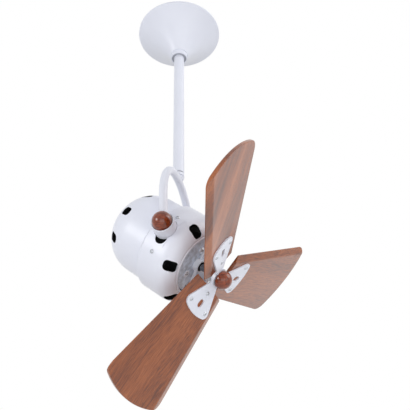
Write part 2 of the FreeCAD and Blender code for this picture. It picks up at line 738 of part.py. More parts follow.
def screw_points(seat, reach):
    """Profile of a round-head screw standing on a seat, shank running down to reach."""
    head = dim("head_rad")
    high = dim("head_high")
    dome = (head * head + high * high) / (high * 2)
    return [(0.0, reach), (dim("screw_rad"), reach), (dim("screw_rad"), seat),
            (head, seat, dome, 1), (0.0, as_size(seat) + high)]


def make_frame():
    """Cast motor frame: ring, two pivot bosses and four screw pillars."""
    body = new_body("motor_frame", HEAD)
    blank = new_sketch(body, "XZ")
    outline(blank, [(0.0, -dim("frame_back")), (dim("frame_rad"), -dim("frame_back")),
                    (dim("frame_rad"), dim("frame_front")), (0.0, dim("frame_front"))])
    revolve(body, blank)
    boss = new_sketch(body, "XZ")
    disc(boss, (0.0, 0.0), dim("boss_rad"))
    extrude(body, boss, dim("boss_out") * 2, both=True)
    pillar_out = dim("front_rad") - dim("shell_thick") - 0.3
    for angle in SHELL_SCREW_ANGLES:
        pillar = new_sketch(body, "YZ", place=radial_place(angle))
        disc(pillar, (0.0, SHELL_SCREW_LEVEL), dim("pillar_rad"))
        extrude(body, pillar, pillar_out)
    bore = new_sketch(body, "XY")
    disc(bore, (0.0, 0.0), dim("stator_rad"))
    extrude(body, bore, dim("front_rad") * 2, cut=True, both=True)
    studs = new_sketch(body, "XZ")
    disc(studs, (0.0, 0.0), dim("stud_rad"))
    extrude(body, studs, dim("boss_out") * 3, cut=True, both=True)
    for angle in SHELL_SCREW_ANGLES:
        tap = new_sketch(body, "YZ", place=radial_place(angle))
        disc(tap, (0.0, SHELL_SCREW_LEVEL), dim("screw_rad"))
        extrude(body, tap, dim("front_rad") * 1.2, cut=True, reverse=True)


def slanted_vents(body, centre_r, centre_z, reach, lean, long, wide, start, count):
    """Ring of rounded vents cut square to a rounded shoulder."""
    tilt = math.radians(lean.value)
    out = centre_r.value + reach.value * math.sin(tilt)
    base = VEC(out, 0, centre_z.value + reach.value * math.cos(tilt))
    local = PLACE(base, TURN(AXIS_Y, lean.value))
    sketch = new_sketch(body, "XY", place=PLACE(VEC(), TURN(AXIS_Z, start)) * local)
    rounded_box(sketch, long, wide, dim("vent_round"))
    cut = extrude(body, sketch, 14.0, cut=True)
    repeat(body, [cut], count, False)


def make_front_shell():
    """Front shell: necked rear end, rounded shoulder, beaded lip, vents, pads and pivot openings."""
    body = new_body("front_shell", HEAD)
    skin = dim("shell_thick")
    rad = dim("front_rad")
    turn = dim("front_round")
    face = dim("front_face")
    centre_r = rad - turn
    centre_z = face - turn
    collar_in = dim("rear_rad")
    collar = collar_in + skin
    lip = dim("lip_rad")
    bead = dim("bead_rad")
    # The shoulder runs 72 degrees round before the rolled bead stands up.
    end_s = math.sin(math.radians(72))
    end_c = math.cos(math.radians(72))
    inner = turn - skin
    bead_low = face - bead * 1.2
    profile = new_sketch(body, "XZ")
    outline(profile, [
        (collar, -dim("collar_end")), (collar, -dim("neck_end"), 4.0, -1),
        ((collar + rad) * HALF, -(dim("neck_end") + dim("neck_start")) * HALF, 4.0, 1),
        (rad, -dim("neck_start")), (rad, centre_z, turn, 1),
        (centre_r + turn * end_c, centre_z + turn * end_s),
        (lip + bead * 2, bead_low, bead * 1.02, 1), (lip, bead_low), (lip, bead_low - dim("lip_depth")),
        (lip + skin, bead_low - dim("lip_depth")), (lip + skin, bead_low - skin * 0.4),
        (centre_r + inner * end_c, centre_z + inner * end_s, inner, -1),
        (rad - skin, centre_z), (rad - skin, -dim("neck_start") + 0.6),
        (collar_in, -dim("neck_end") + 0.6), (collar_in, -dim("collar_end"))])
    revolve(body, profile)
    pad = new_sketch(body, "YZ")
    outline(pad, [(-(rad + dim("pad_rise")), -dim("pad_half")), (-(rad - skin * HALF), -dim("pad_half")),
                  (-(rad - skin * HALF), dim("pad_half")), (-(rad + dim("pad_rise")), dim("pad_half"))])
    raised = revolve(body, pad, angle=dim("pad_angle"))
    repeat(body, [raised], 2, True)
    opening = new_sketch(body, "XZ")
    disc(opening, (0.0, 0.0), dim("pivot_hole"))
    extrude(body, opening, rad * 4, cut=True, both=True)
    lobe = new_sketch(body, "XZ")
    disc(lobe, (dim("lobe_side"), dim("lobe_fore")), dim("lobe_rad"))
    extrude(body, lobe, rad * 4, cut=True, both=True)
    for angle in SHELL_SCREW_ANGLES:
        hole = new_sketch(body, "YZ", place=radial_place(angle))
        disc(hole, (0.0, SHELL_SCREW_LEVEL), dim("screw_rad") + 0.15)
        extrude(body, hole, rad * 1.2, cut=True, reverse=True)
    slanted_vents(body, centre_r, centre_z, turn + 6.0, dim("vent_lean"), dim("vent_long"),
                  dim("vent_wide"), FRONT_VENT_START, FRONT_VENTS)


def make_rear_shell():
    """Rear shell: straight skirt running into a domed back with vents."""
    body = new_body("rear_shell", HEAD)
    skin = dim("shell_thick")
    rad = dim("rear_rad")
    turn = dim("rear_round")
    end = -dim("rear_end")
    centre_r = rad - turn
    centre_z = end + turn
    profile = new_sketch(body, "XZ")
    outline(profile, [
        (0.0, end), (centre_r, end, turn, 1), (rad, centre_z), (rad, -dim("rear_rim")),
        (rad - skin, -dim("rear_rim")), (rad - skin, centre_z, turn - skin, -1),
        (centre_r, end + skin), (0.0, end + skin)])
    revolve(body, profile)
    slanted_vents(body, centre_r, centre_z, turn + 5.0, dim("back_vent_lean"), dim("back_vent_long"),
                  dim("back_vent_wide"), BACK_VENT_START, BACK_VENTS)


def on_ring(distance, angle):
    """Point at a distance and an angle from the sketch origin."""
    turn = math.radians(angle)
    return distance * math.cos(turn), distance * math.sin(turn)


def make_shields():
    """Cast end shields with bearing bosses, and the sleeve bearings in them."""
    wall = dim("shield_thick")
    rad = dim("shield_rad")
    face = dim("shield_face")
    seat = dim("bearing_rad")
    flange = dim("frame_front")
    front = new_body("front_shield", HEAD)
    profile = new_sketch(front, "XZ")
    outline(profile, [
        (seat, face - 5.0), (seat + 3.2, face - 5.0), (seat + 3.2, face - wall), (rad - wall, face - wall),
        (rad - wall, flange), (dim("frame_rad"), flange), (dim("frame_rad"), flange + wall),
        (rad, flange + wall), (rad, face - 1.5), (rad - 1.5, face), (seat + 3.2, face),
        (seat + 2.6, dim("boss_front")), (seat, dim("boss_front"))])
    revolve(front, profile)
    lay = PLACE(VEC(), TURN(AXIS_Z, RIB_ANGLE)) * PLANE_TURNS["XZ"]
    rib = new_sketch(front, "XZ", place=lay)
    outline(rib, [(seat + 2.0, face - 1.0), (rad - 1.2, face - 1.0), (rad - 1.2, face + 0.7),
                  (seat + 2.0, face + 5.0)])
    ribs = extrude(front, rib, 1.8, both=True)
    repeat(front, [ribs], 2, True)
    middle = (rad + seat) * HALF
    screw_ring = middle - 2.1
    rise = dim("post_rise")
    post = new_sketch(front, "XY", lift=face - 9.0)
    disc(post, on_ring(screw_ring, SHIELD_SCREW_ANGLE), dim("post_rad"))
    posts = extrude(front, post, rise + 9.0)
    repeat(front, [posts], 3, True)
    tap = new_sketch(front, "XY", lift=face + 3.0)
    disc(tap, on_ring(screw_ring, SHIELD_SCREW_ANGLE), dim("screw_rad"))
    taps = extrude(front, tap, 20.0, cut=True)
    repeat(front, [taps], 3, False)
    window = new_sketch(front, "XY", lift=face + 3.0)
    disc(window, on_ring(rad - 7.5, WIRE_HOLE_ANGLE), 2.6)
    cut = extrude(front, window, 8.0, cut=True)
    repeat(front, [cut], 2, False)
    screws = new_body("shield_screws", HEAD)
    spot = PLACE(VEC(), TURN(AXIS_Z, SHIELD_SCREW_ANGLE)) * PLACE(VEC(screw_ring.value, 0, 0), STILL)
    sketch = new_sketch(screws, "XZ", place=spot * PLANE_TURNS["XZ"])
    outline(sketch, screw_points(face + rise, face - 8.0))
    one = revolve(screws, sketch)
    repeat(screws, [one], 3, True)
    back = -dim("back_shield")
    flange = -dim("frame_back")
    turned("rear_shield", HEAD, [
        (seat, back - 6.0), (seat + 4.0, back - 6.0), (seat + 4.0, back), (rad, back), (rad, flange - wall),
        (dim("frame_rad"), flange - wall), (dim("frame_rad"), flange), (rad - wall, flange),
        (rad - wall, back + wall), (seat + 4.0, back + wall), (seat + 4.0, back + 5.0), (seat, back + 5.0)])
    bore = dim("shaft_rad") + fit
    turned("front_bearing", HEAD, ring_points(bore, seat, face - 5.0, dim("boss_front") - dim("bush_sunk")))
    turned("rear_bearing", HEAD, ring_points(bore, seat, back - 6.0, back + 5.0))


def make_motor():
    """Stator with its winding, rotor and shaft."""
    back = -dim("core_back")
    front = dim("core_front")
    bore = dim("stator_bore")
    turned("stator_core", HEAD, ring_points(bore, dim("stator_rad"), back, front))
    body = new_body("stator_winding", HEAD)
    long = dim("coil_long")
    for low, high in ((back - long, back), (front, front + long)):
        sketch = new_sketch(body, "XZ")
        outline(sketch, [(bore + 3.0, low + 2.0), (bore + 5.0, low), (rad_coil(-2.0), low),
                         (rad_coil(0.0), low + 2.0), (rad_coil(0.0), high), (bore + 3.0, high)])
        revolve(body, sketch)
    turned("rotor_core", HEAD, ring_points(dim("shaft_rad"), bore - dim("air_gap"), back, front))
    turned("motor_shaft", HEAD, [
        (0.0, -dim("shaft_tail")), (dim("shaft_rad"), -dim("shaft_tail")),
        (dim("shaft_rad"), dim("shaft_tip") - 1.0), (dim("shaft_rad") - 1.0, dim("shaft_tip")),
        (0.0, dim("shaft_tip"))])


def rad_coil(extra):
    """Outside radius of the winding overhang."""
    return dim("shield_rad") - dim("shield_thick") - 2.5 + extra


def make_shell_screws():
    """Four round-head screws, two beside each pivot opening."""
    body = new_body("shell_screws", HEAD)
    for angle in SHELL_SCREW_ANGLES:
        seat = dim("front_rad") + 0.1
        if abs(abs(angle) - 90) < VALUES["pad_angle"] / 2:
            seat = seat + dim("pad_rise")
        spin = PLACE(VEC(0, 0, SHELL_SCREW_LEVEL), TURN(AXIS_Z, angle))
        lie = PLACE(VEC(), TURN(AXIS_Y, 90))
        sketch = new_sketch(body, "XZ", place=spin * lie * PLANE_TURNS["XZ"])
        outline(sketch, screw_points(seat, dim("stator_rad") + 9.0))
        revolve(body, sketch)


def blade_place(angle):
    """Frame of one blade: centre line, chord and face, pitched about the arm."""
    spin = PLACE(VEC(0, 0, VALUES["blade_plane"]), TURN(AXIS_Z, angle))
    pitch = PLACE(VEC(), TURN(AXIS_X, VALUES["blade_pitch"]))
    skew = PLACE(VEC(), TURN(AXIS_Z, VALUES["blade_skew"]))
    return spin * pitch * skew


def tip_corner(half):
    """Distance from the axis at which the tip arc reaches a half width."""
    arc = dim("tip_round")
    return dim("blade_tip") - arc + root(arc * arc - half * half)


def cut_bevel(body, side, half, wide, points):
    """Wedge cut along one long edge of a blade; the profile is measured inwards from the edge."""
    start = VALUES["blade_root"]
    slope = math.degrees(math.atan2(wide.value - half.value, tip_corner(wide).value - start))
    spot = PLACE(VEC(start, half.value * side, 0), TURN(AXIS_Z, slope * side))
    wedge = new_sketch(body, "YZ", place=spot * PLANE_TURNS["YZ"])
    outline(wedge, [(as_size(inward) * -side, level) for inward, level in points])
    extrude(body, wedge, dim("blade_tip") * 4, cut=True, both=True)


def make_blade(name, angle):
    """Flat wooden blade widening to an arc tip, bevelled along both long edges."""
    body = new_body(name, HEAD * blade_place(angle))
    half = dim("root_half")
    lead = dim("tip_half")
    trail = dim("trail_half")
    start = dim("blade_root")
    thick = dim("blade_thick")
    plan = new_sketch(body, "XY")
    outline(plan, [(start, -half), (tip_corner(lead), -lead, dim("tip_round"), 1),
                   (tip_corner(trail), trail), (start, half)])
    board = extrude(body, plan, thick, reverse=True)
    board = round_edges(body, board, dim("lead_corner"), upright_at(tip_corner(lead), -lead))
    board = round_edges(body, board, dim("trail_corner"), upright_at(tip_corner(trail), trail))
    for side in (-1, 1):
        board = round_edges(body, board, dim("root_corner"), upright_at(start, half * side))
    deep = dim("bevel_deep")
    broad = dim("bevel_wide")
    cut_bevel(body, 1, half, trail,
              [(broad, 0.0), (-4.0, -(deep * (broad + 4.0) / broad)), (-4.0, 3.0), (broad, 3.0)])
    deep = dim("back_bevel_deep")
    broad = dim("back_bevel_wide")
    cut_bevel(body, -1, half, lead,
              [(broad, -thick), (-4.0, deep * (broad + 4.0) / broad - thick), (-4.0, -(thick + 3.0)),
               (broad, -(thick + 3.0))])
    holes = new_sketch(body, "XY")
    for across, along_chord in ARM_SCREWS:
        disc(holes, (across, along_chord), dim("screw_rad"))
    extrude(body, holes, thick - 0.8, cut=True)


def make_spider():
    """Pressed blade holder: hub and three pitched arms with screw holes and an oval window."""
    body = new_body("blade_spider", HEAD)
    hub = new_sketch(body, "XZ")
    outline(hub, ring_points(dim("shaft_rad"), dim("hub_rad"), dim("hub_back"), dim("hub_front")))
    revolve(body, hub)
    place = blade_place(BLADE_ANGLES[0][1])
    arm = new_sketch(body, "XY", place=place)
    neck = dim("arm_neck")
    half = dim("arm_half")
    end = dim("arm_end")
    arc = dim("arm_arc")
    start = dim("arm_start")
    corner = end - arc + root(arc * arc - half * half)
    outline(arm, [(start, -neck), (corner, -half, arc, 1), (corner, half), (start, neck)])
    disc(arm, ARM_SCREWS[0], dim("screw_rad") + 0.15)
    disc(arm, ARM_SCREWS[1], dim("screw_rad") + 0.15)
    disc(arm, ARM_SCREWS[2], dim("screw_rad") + 0.15)
    oblong(arm, (end - dim("window_back"), 0.0), dim("window_long"), dim("window_wide"))
    plate = extrude(body, arm, dim("arm_thick"))
    repeat(body, [plate], 3, True)
    last = body.Tip
    round_edges(body, last, dim("arm_corner"), is_corner(dim("arm_thick"), root(corner * corner + half * half)))
    turned("blade_hub", HEAD, [
        (dim("shaft_rad"), dim("boss_front") + 17.0), (11.5, dim("boss_front") + 17.0),
        (11.5, dim("hub_back") - 3.0), (dim("hub_rad"), dim("hub_back") - 2.2),
        (dim("hub_rad"), dim("hub_back")), (dim("shaft_rad"), dim("hub_back"))])


def is_corner(thick, reach):
    """Test for the short edges at the outer corners of the holder arms."""

    def passes(edge):
        centre = edge.BoundBox.Center
        far = math.hypot(centre.x, centre.y) > reach.value * 0.94
        return far and abs(edge.Length - thick.value) < 0.01

    return passes


def make_blade_screws():
    """Nine round-head screws, three on each holder arm."""
    body = new_body("blade_screws", HEAD)
    place = blade_place(BLADE_ANGLES[0][1])
    made = []
    for across, along_chord in ARM_SCREWS:
        spot = place * PLACE(VEC(across.value, along_chord.value, 0), STILL)
        sketch = new_sketch(body, "XZ", place=spot * PLANE_TURNS["XZ"])
        outline(sketch, screw_points(dim("arm_thick"), -dim("blade_thick") + 1.0))
        made.append(revolve(body, sketch))
    repeat(body, made, 3, True)


def make_finial():
    """Turned wooden acorn threaded on the shaft end."""
    foot = dim("hub_front")
    rad = dim("finial_rad")
    base = foot + 1.6
    belly = base + 0.7
    crown = dim("finial_top") - belly
    dome = (rad * rad + crown * crown) / (crown * 2)
    bore_end = dim("shaft_tip")
    turned("finial", HEAD, [
        (dim("shaft_rad"), foot), (dim("finial_neck"), foot), (dim("finial_neck"), base),
        (rad - 0.7, base), (rad, belly, dome, 1),
        (0.0, dim("finial_top")), (0.0, bore_end), (dim("shaft_rad") - 1.0, bore_end),
        (dim("shaft_rad"), bore_end - 1.0)])


make_bracket()
make_hanger_bolt()
make_rod()
make_canopy()
make_swivel()
make_yoke()
make_pivots()
make_frame()
make_front_shell()
make_rear_shell()
make_shields()
make_motor()
make_shell_screws()
for blade_name, blade_angle in BLADE_ANGLES:
    make_blade(blade_name, blade_angle)
make_spider()
make_blade_screws()
make_finial()
doc.recompute()

for item in doc.Objects:
    if "Invalid" in item.State or "Error" in item.State:
        raise RuntimeError("%s is %s" % (item.Name, item.State))
os.makedirs("parts", exist_ok=True)
for piece in parts:
    if piece.Shape.isNull() or not piece.Shape.isValid():
        raise RuntimeError("%s has no valid shape" % piece.Label)
    piece.Shape.exportStep("parts/%s.step" % piece.Label)
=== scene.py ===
import math

import bmesh
import bpy
import numpy as np
from bpy.props import FloatProperty, FloatVectorProperty, PointerProperty
from mathutils import Matrix, Vector


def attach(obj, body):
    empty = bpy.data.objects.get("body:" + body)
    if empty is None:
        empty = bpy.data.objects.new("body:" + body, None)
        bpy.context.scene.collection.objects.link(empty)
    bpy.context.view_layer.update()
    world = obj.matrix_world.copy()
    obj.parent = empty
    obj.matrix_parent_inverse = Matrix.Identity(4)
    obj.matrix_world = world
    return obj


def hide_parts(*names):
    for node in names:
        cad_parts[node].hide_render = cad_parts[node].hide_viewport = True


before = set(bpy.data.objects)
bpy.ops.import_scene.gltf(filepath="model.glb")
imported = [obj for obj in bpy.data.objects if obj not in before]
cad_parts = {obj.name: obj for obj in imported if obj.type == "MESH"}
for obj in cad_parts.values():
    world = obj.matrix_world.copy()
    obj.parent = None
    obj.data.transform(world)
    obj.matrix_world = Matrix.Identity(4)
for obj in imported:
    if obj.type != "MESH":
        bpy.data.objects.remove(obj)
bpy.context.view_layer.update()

bl_info = {
    "name": "Tilting ceiling fan",
    "version": (1, 0, 0),
    "blender": (4, 5, 0),
    "location": "View3D > Sidebar > Fan",
    "description": "Finishes, eased blades and screws for a ceiling fan with a tilting motor head",
    "category": "Object",
}

MM = 0.001
# Crest to crest of a wave texture at scale 1.
CREST = math.pi / 10
# Where the motor axis crosses the tilt axis, and how far the motor points down at rest.
PIVOT = np.array([0.0, 0.0, -0.515])
HEAD_TILT = math.radians(41.0)


def linear(code):
    """Linear colour of an sRGB hex value."""
    share = [int(code[i:i + 2], 16) / 255 for i in (0, 2, 4)]
    return tuple(c / 12.92 if c <= 0.04045 else ((c + 0.055) / 1.055) ** 2.4 for c in share)


def colour(name, code, about):
    """Colour property with an sRGB default."""
    return FloatVectorProperty(
        name=name, description=about, subtype="COLOR", size=3, min=0, max=1, default=linear(code))


def length(name, size_mm, about):
    """Length property with a default in millimetres."""
    return FloatProperty(
        name=name, description=about, subtype="DISTANCE", unit="LENGTH", default=size_mm * MM)


def angle(name, degrees, about):
    """Angle property with a default in degrees."""
    return FloatProperty(
        name=name, description=about, subtype="ANGLE", unit="ROTATION",
        default=math.radians(degrees))


class FanSizes(bpy.types.PropertyGroup):
    """Sizes of the blades and the screws, as cut and as pressed."""

    blade_root: length("Blade root", 20.0, "Motor axis to the blade's inner end")
    blade_tip: length("Blade tip", 214.0, "Motor axis to the blade's tip")
    tip_round: length("Tip arc", 161.0, "Radius of the arc across the tip")
    root_half: length("Root half width", 38.6, "Half the blade's width at its root")
    tip_half: length("Leading half width", 71.2, "Centre line to the leading tip corner")
    trail_half: length("Trailing half width", 68.6, "Centre line to the trailing tip corner")
    thick: length("Blade thickness", 6.0, "Thickness of the board")
    lead_corner: length("Leading corner", 17.0, "Radius of the leading tip corner")
    trail_corner: length("Trailing corner", 14.0, "Radius of the trailing tip corner")
    root_corner: length("Root corner", 1.6, "Radius of the root corners")
    bevel_wide: length("Bevel width", 11.8, "Width of the bevel on the trailing edge")
    bevel_deep: length("Bevel depth", 4.5, "Depth of the bevel on the trailing edge")
    back_bevel_wide: length("Back bevel width", 9.0, "Width of the bevel behind the leading edge")
    back_bevel_deep: length("Back bevel depth", 4.9, "Depth of the bevel behind the leading edge")
    ease: length("Eased edge", 0.9, "Rounding left on the edges by sanding")
    blade_plane: length("Blade plane", 81.0, "Tilt axis to the blades' front plane")
    blade_pitch: angle("Blade pitch", 13.6, "Twist of a blade about its arm")
    blade_skew: angle("Blade skew", 7.07, "Blade centre line off its arm")
    arm_thick: length("Holder sheet", 2.2, "Thickness of the blade holder")
    screw_head: length("Screw head", 3.3, "Radius of a screw head")
    screw_high: length("Screw height", 2.0, "Height of a screw head")


class FanColours(bpy.types.PropertyGroup):
    """Colours of the finishes."""

    paint: colour("Paint", "E6E9F4", "Satin white powder coat")
    paint_thin: colour("Paint, thin", "DDE0EC", "Where the coat is a little thinner")
    # Black painted shade: inside the shells, on the motor frame and rear shield, and in the front
    # shield's bore and past its rim.
    shade_black: colour("Primer", "17181A", "Black dip primer inside the shells")
    wood_pale: colour("Blade wood, pale", "AB6235", "Early wood of the blades")
    wood: colour("Blade wood", "8F4B22", "Middle tone of the blades")
    wood_dark: colour("Blade wood, dark", "5A2812", "Late wood and pores of the blades")
    ball: colour("Turned wood", "91401E", "Middle tone of the knobs and the finial")
    ball_dark: colour("Turned wood, dark", "5C2410", "Dark streaks of the knobs and the finial")
    zinc: colour("Zinc", "C4C7CD", "Zinc plated steel")
    cast: colour("Casting", "B4B7BD", "Cast aluminium")
    lacquer: colour("Shield lacquer", "DCEAFC", "Aluminium lacquer on the front shield")
    # Painted highlight: paler tone on the raised parts of the front shield.
    lacquer_highlight: colour("Lacquer, rubbed", "EEF5FF", "Raised parts of the front shield")
    # Shaft tone darkened: painted shade for the dark bore that the shaft mirrors.
    shaft: colour("Shaft", "8C8E93", "Ground steel under a film of oil")
    bronze: colour("Bronze", "A98555", "Sintered bronze")
    core: colour("Core steel", "3A3B3E", "Varnished core plates")
    wire: colour("Wire", "8A4522", "Varnished copper wire")
    rubber: colour("Rubber", "9C9FA8", "Pale moulded rubber")
    nylon: colour("Nylon", "222326", "Moulded nylon")
    floor: colour("Floor", "F2F2F2", "Pale studio floor")


# Sockets of a mix node, by number because their names repeat: two values, two colours, and the
# colour that comes out.
SHARE_A, SHARE_B, TONE_A, TONE_B, TONE = 2, 3, 6, 7, 2


def add(tree, kind, inputs=None, **settings):
    """Adds one node: settings go on the node and inputs on its sockets, by value or by link."""
    made = tree.nodes.new(kind)
    for name, value in settings.items():
        setattr(made, name, value)
    for name, value in (inputs or {}).items():
        if isinstance(value, bpy.types.NodeSocket):
            tree.links.new(value, made.inputs[name])
        else:
            made.inputs[name].default_value = value
    return made


def blank(name):
    """New node material: its tree and its shader, joined to the output."""
    material = bpy.data.materials.new(name)
    material.use_nodes = True
    tree = material.node_tree
    tree.nodes.clear()
    shader = add(tree, "ShaderNodeBsdfPrincipled")
    add(tree, "ShaderNodeOutputMaterial", {"Surface": shader.outputs[0]})
    return material, tree, shader


def rgba(value):
    """Colour property as four numbers."""
    return (*value, 1.0)


def cells(size_mm):
    """Texture scale at which one cell has this size."""
    return 1.0 / (size_mm * MM)


def link(tree, shader, **sockets):
    """Joins sockets to the shader's inputs of the same name, with _ for a space."""
    for name, socket in sockets.items():
        tree.links.new(socket, shader.inputs[name.replace("_", " ")])


# Painted shade inside the shells: the middle of their hollow behind the tilt axis, how far a face
# has to look back at it to count as inside, and how far ahead of it the black painted shade
# reaches, up to the front lip.
HOLLOW_BACK = 30 * MM
LOOKS_IN = -6 * MM
SHADED_AHEAD = 66 * MM


def powder_coat(name, inside=False):
    """Satin white powder coat on steel.

    A baked coat flows into a faint orange peel, about 2.5 mm from crest to crest, with gloss
    and tone that drift a little over the piece. Inside the shells the faces that look towards the
    middle of the motor turn black: painted shade for the dark inside the shells.
    """
    tint = bpy.context.scene.fan_colours
    material, tree, shader = blank(name)
    place = add(tree, "ShaderNodeTexCoord")
    drift = add(tree, "ShaderNodeTexNoise",
                {"Vector": place.outputs["Object"], "Scale": cells(60), "Detail": 3.0})
    coat = add(tree, "ShaderNodeMix",
               {"Factor": drift.outputs["Fac"], TONE_A: rgba(tint.paint),
                TONE_B: rgba(tint.paint_thin)}, data_type="RGBA")
    gloss = add(tree, "ShaderNodeMapRange",
                {"Value": drift.outputs["Fac"], "To Min": 0.29, "To Max": 0.37})
    peel = add(tree, "ShaderNodeTexNoise",
               {"Vector": place.outputs["Object"], "Scale": cells(2.5), "Detail": 2.0})
    bump = add(tree, "ShaderNodeBump",
               {"Height": peel.outputs["Fac"], "Strength": 0.25, "Distance": 0.02 * MM})
    base, rough = coat.outputs[TONE], gloss.outputs[0]
    # Painted shade: the inner faces behind the front lip turn black, for the dark inside the
    # shells.
    if inside:
        centre = PIVOT - HOLLOW_BACK * motor_axis()
        arm = add(tree, "ShaderNodeVectorMath",
                  {0: place.outputs["Object"], 1: tuple(centre)}, operation="SUBTRACT")
        facing = add(tree, "ShaderNodeVectorMath",
                     {0: arm.outputs[0], 1: place.outputs["Normal"]}, operation="DOT_PRODUCT")
        turned_in = add(tree, "ShaderNodeMath",
                        {0: facing.outputs["Value"], 1: LOOKS_IN}, operation="LESS_THAN")
        along = add(tree, "ShaderNodeVectorMath",
                    {0: arm.outputs[0], 1: tuple(motor_axis())}, operation="DOT_PRODUCT")
        behind_lip = add(tree, "ShaderNodeMath",
                         {0: along.outputs["Value"], 1: SHADED_AHEAD}, operation="LESS_THAN")
        shade_mask = add(tree, "ShaderNodeMath",
                     {0: turned_in.outputs[0], 1: behind_lip.outputs[0]}, operation="MULTIPLY")
        coat = add(tree, "ShaderNodeMix",
                   {"Factor": shade_mask.outputs[0], TONE_A: base, TONE_B: rgba(tint.shade_black)},
                   data_type="RGBA")
        base = coat.outputs[TONE]
        gloss = add(tree, "ShaderNodeMapRange",
                    {"Value": shade_mask.outputs[0], "To Min": rough, "To Max": 0.75})
        rough = gloss.outputs[0]
    link(tree, shader, Base_Color=base, Roughness=rough, Normal=bump.outputs[0])
    shader.inputs["IOR"].default_value = 1.5
    return material


# The log that the boards are cut from: how far its grain sways along, across and into a board, how
# far its heart lies from the board, how much its rings are drawn out along it, and the shares of
# the rings and the broad figure in the tone.
SWAY = (0.0, 30 * MM, 20 * MM)
HEART_DEPTH = 55 * MM
RUN_OUT = 0.09
RING_SHARE = 0.30
FIGURE_SHARE = 0.35


def lacquered_board(name, bold):
    """Stained hardwood board under clear lacquer, planed with the grain along the blade.

    The growth rings are cut at a shallow angle, so on the face they stand some 75 mm apart and run
    out in long soft flames, and a broad figure some 16 mm wide drifts slantwise over the board.
    Bold is about 1 on a board with lively figure and less on a plain one. Fibres 1.5 mm wide and
    30 mm long, and pores 1 mm by 12 mm, are drawn about twice as wide as they are, so that they
    show.
    """
    tint = bpy.context.scene.fan_colours
    material, tree, shader = blank(name)
    grain = add(tree, "ShaderNodeAttribute", attribute_name="grain")
    sway = add(tree, "ShaderNodeMapping",
               {"Vector": grain.outputs["Vector"], "Scale": (cells(140), cells(40), cells(40))})
    bend = add(tree, "ShaderNodeTexNoise",
               {"Vector": sway.outputs[0], "Scale": 1.0, "Detail": 2.0})
    shift = add(tree, "ShaderNodeVectorMath",
                {0: bend.outputs["Color"], 1: SWAY}, operation="MULTIPLY")
    swayed = add(tree, "ShaderNodeVectorMath",
                 {0: grain.outputs["Vector"], 1: shift.outputs[0]}, operation="ADD")
    log = add(tree, "ShaderNodeMapping",
              {"Vector": swayed.outputs[0], "Location": (0.0, 0.0, HEART_DEPTH),
               "Scale": (RUN_OUT, 1.0, 1.0)})
    rings = add(tree, "ShaderNodeTexWave",
                {"Vector": log.outputs[0], "Scale": CREST * cells(75), "Distortion": 3.0,
                 "Detail": 3.0, "Detail Scale": 1.5},
                wave_type="RINGS", rings_direction="X", wave_profile="SIN")
    fibre_map = add(tree, "ShaderNodeMapping",
                    {"Vector": swayed.outputs[0], "Scale": (cells(30), cells(1.5), cells(1.5))})
    fibre = add(tree, "ShaderNodeTexNoise",
                {"Vector": fibre_map.outputs[0], "Scale": 1.0, "Detail": 4.0, "Roughness": 0.55})
    pore_map = add(tree, "ShaderNodeMapping",
                   {"Vector": swayed.outputs[0], "Scale": (cells(12), cells(1.0), cells(1.0))})
    pore = add(tree, "ShaderNodeTexNoise",
               {"Vector": pore_map.outputs[0], "Scale": 1.0, "Detail": 1.0})
    cut = add(tree, "ShaderNodeMapRange",
              {"Value": pore.outputs["Fac"], "From Min": 0.56, "From Max": 0.72})
    figure_map = add(tree, "ShaderNodeMapping",
                     {"Vector": swayed.outputs[0], "Rotation": (0.0, 0.0, 0.12),
                      "Scale": (cells(110), cells(16), cells(16))})
    figure = add(tree, "ShaderNodeTexNoise",
                 {"Vector": figure_map.outputs[0], "Scale": 1.0, "Detail": 2.0})
    fine = add(tree, "ShaderNodeMix",
               {"Factor": 1.0 - RING_SHARE * bold, SHARE_A: rings.outputs["Fac"],
                SHARE_B: fibre.outputs["Fac"]}, data_type="FLOAT")
    both = add(tree, "ShaderNodeMix",
               {"Factor": FIGURE_SHARE * bold, SHARE_A: fine.outputs[0],
                SHARE_B: figure.outputs["Fac"]}, data_type="FLOAT")
    ramp = add(tree, "ShaderNodeValToRGB", {"Fac": both.outputs[0]})
    steps = ramp.color_ramp.elements
    steps[0].position, steps[0].color = 0.30, rgba(tint.wood_dark)
    steps[1].position, steps[1].color = 0.70, rgba(tint.wood_pale)
    middle = steps.new(0.50)
    middle.color = rgba(tint.wood)
    dash = add(tree, "ShaderNodeMath", {0: cut.outputs[0], 1: 0.55}, operation="MULTIPLY")
    stained = add(tree, "ShaderNodeMix",
                  {"Factor": dash.outputs[0], TONE_A: ramp.outputs[0],
                   TONE_B: rgba(tint.wood_dark)}, data_type="RGBA")
    gloss = add(tree, "ShaderNodeMapRange",
                {"Value": fibre.outputs["Fac"], "To Min": 0.34, "To Max": 0.50})
    sunk = add(tree, "ShaderNodeMath", {0: 1.0, 1: cut.outputs[0]}, operation="SUBTRACT")
    bump = add(tree, "ShaderNodeBump",
               {"Height": sunk.outputs[0], "Strength": 0.35, "Distance": 0.05 * MM})
    link(tree, shader, Base_Color=stained.outputs[TONE], Roughness=gloss.outputs[0],
         Normal=bump.outputs[0])
    shader.inputs["Specular IOR Level"].default_value = 0.2
    shader.inputs["Coat Weight"].default_value = 0.75
    shader.inputs["Coat Roughness"].default_value = 0.15
    return material


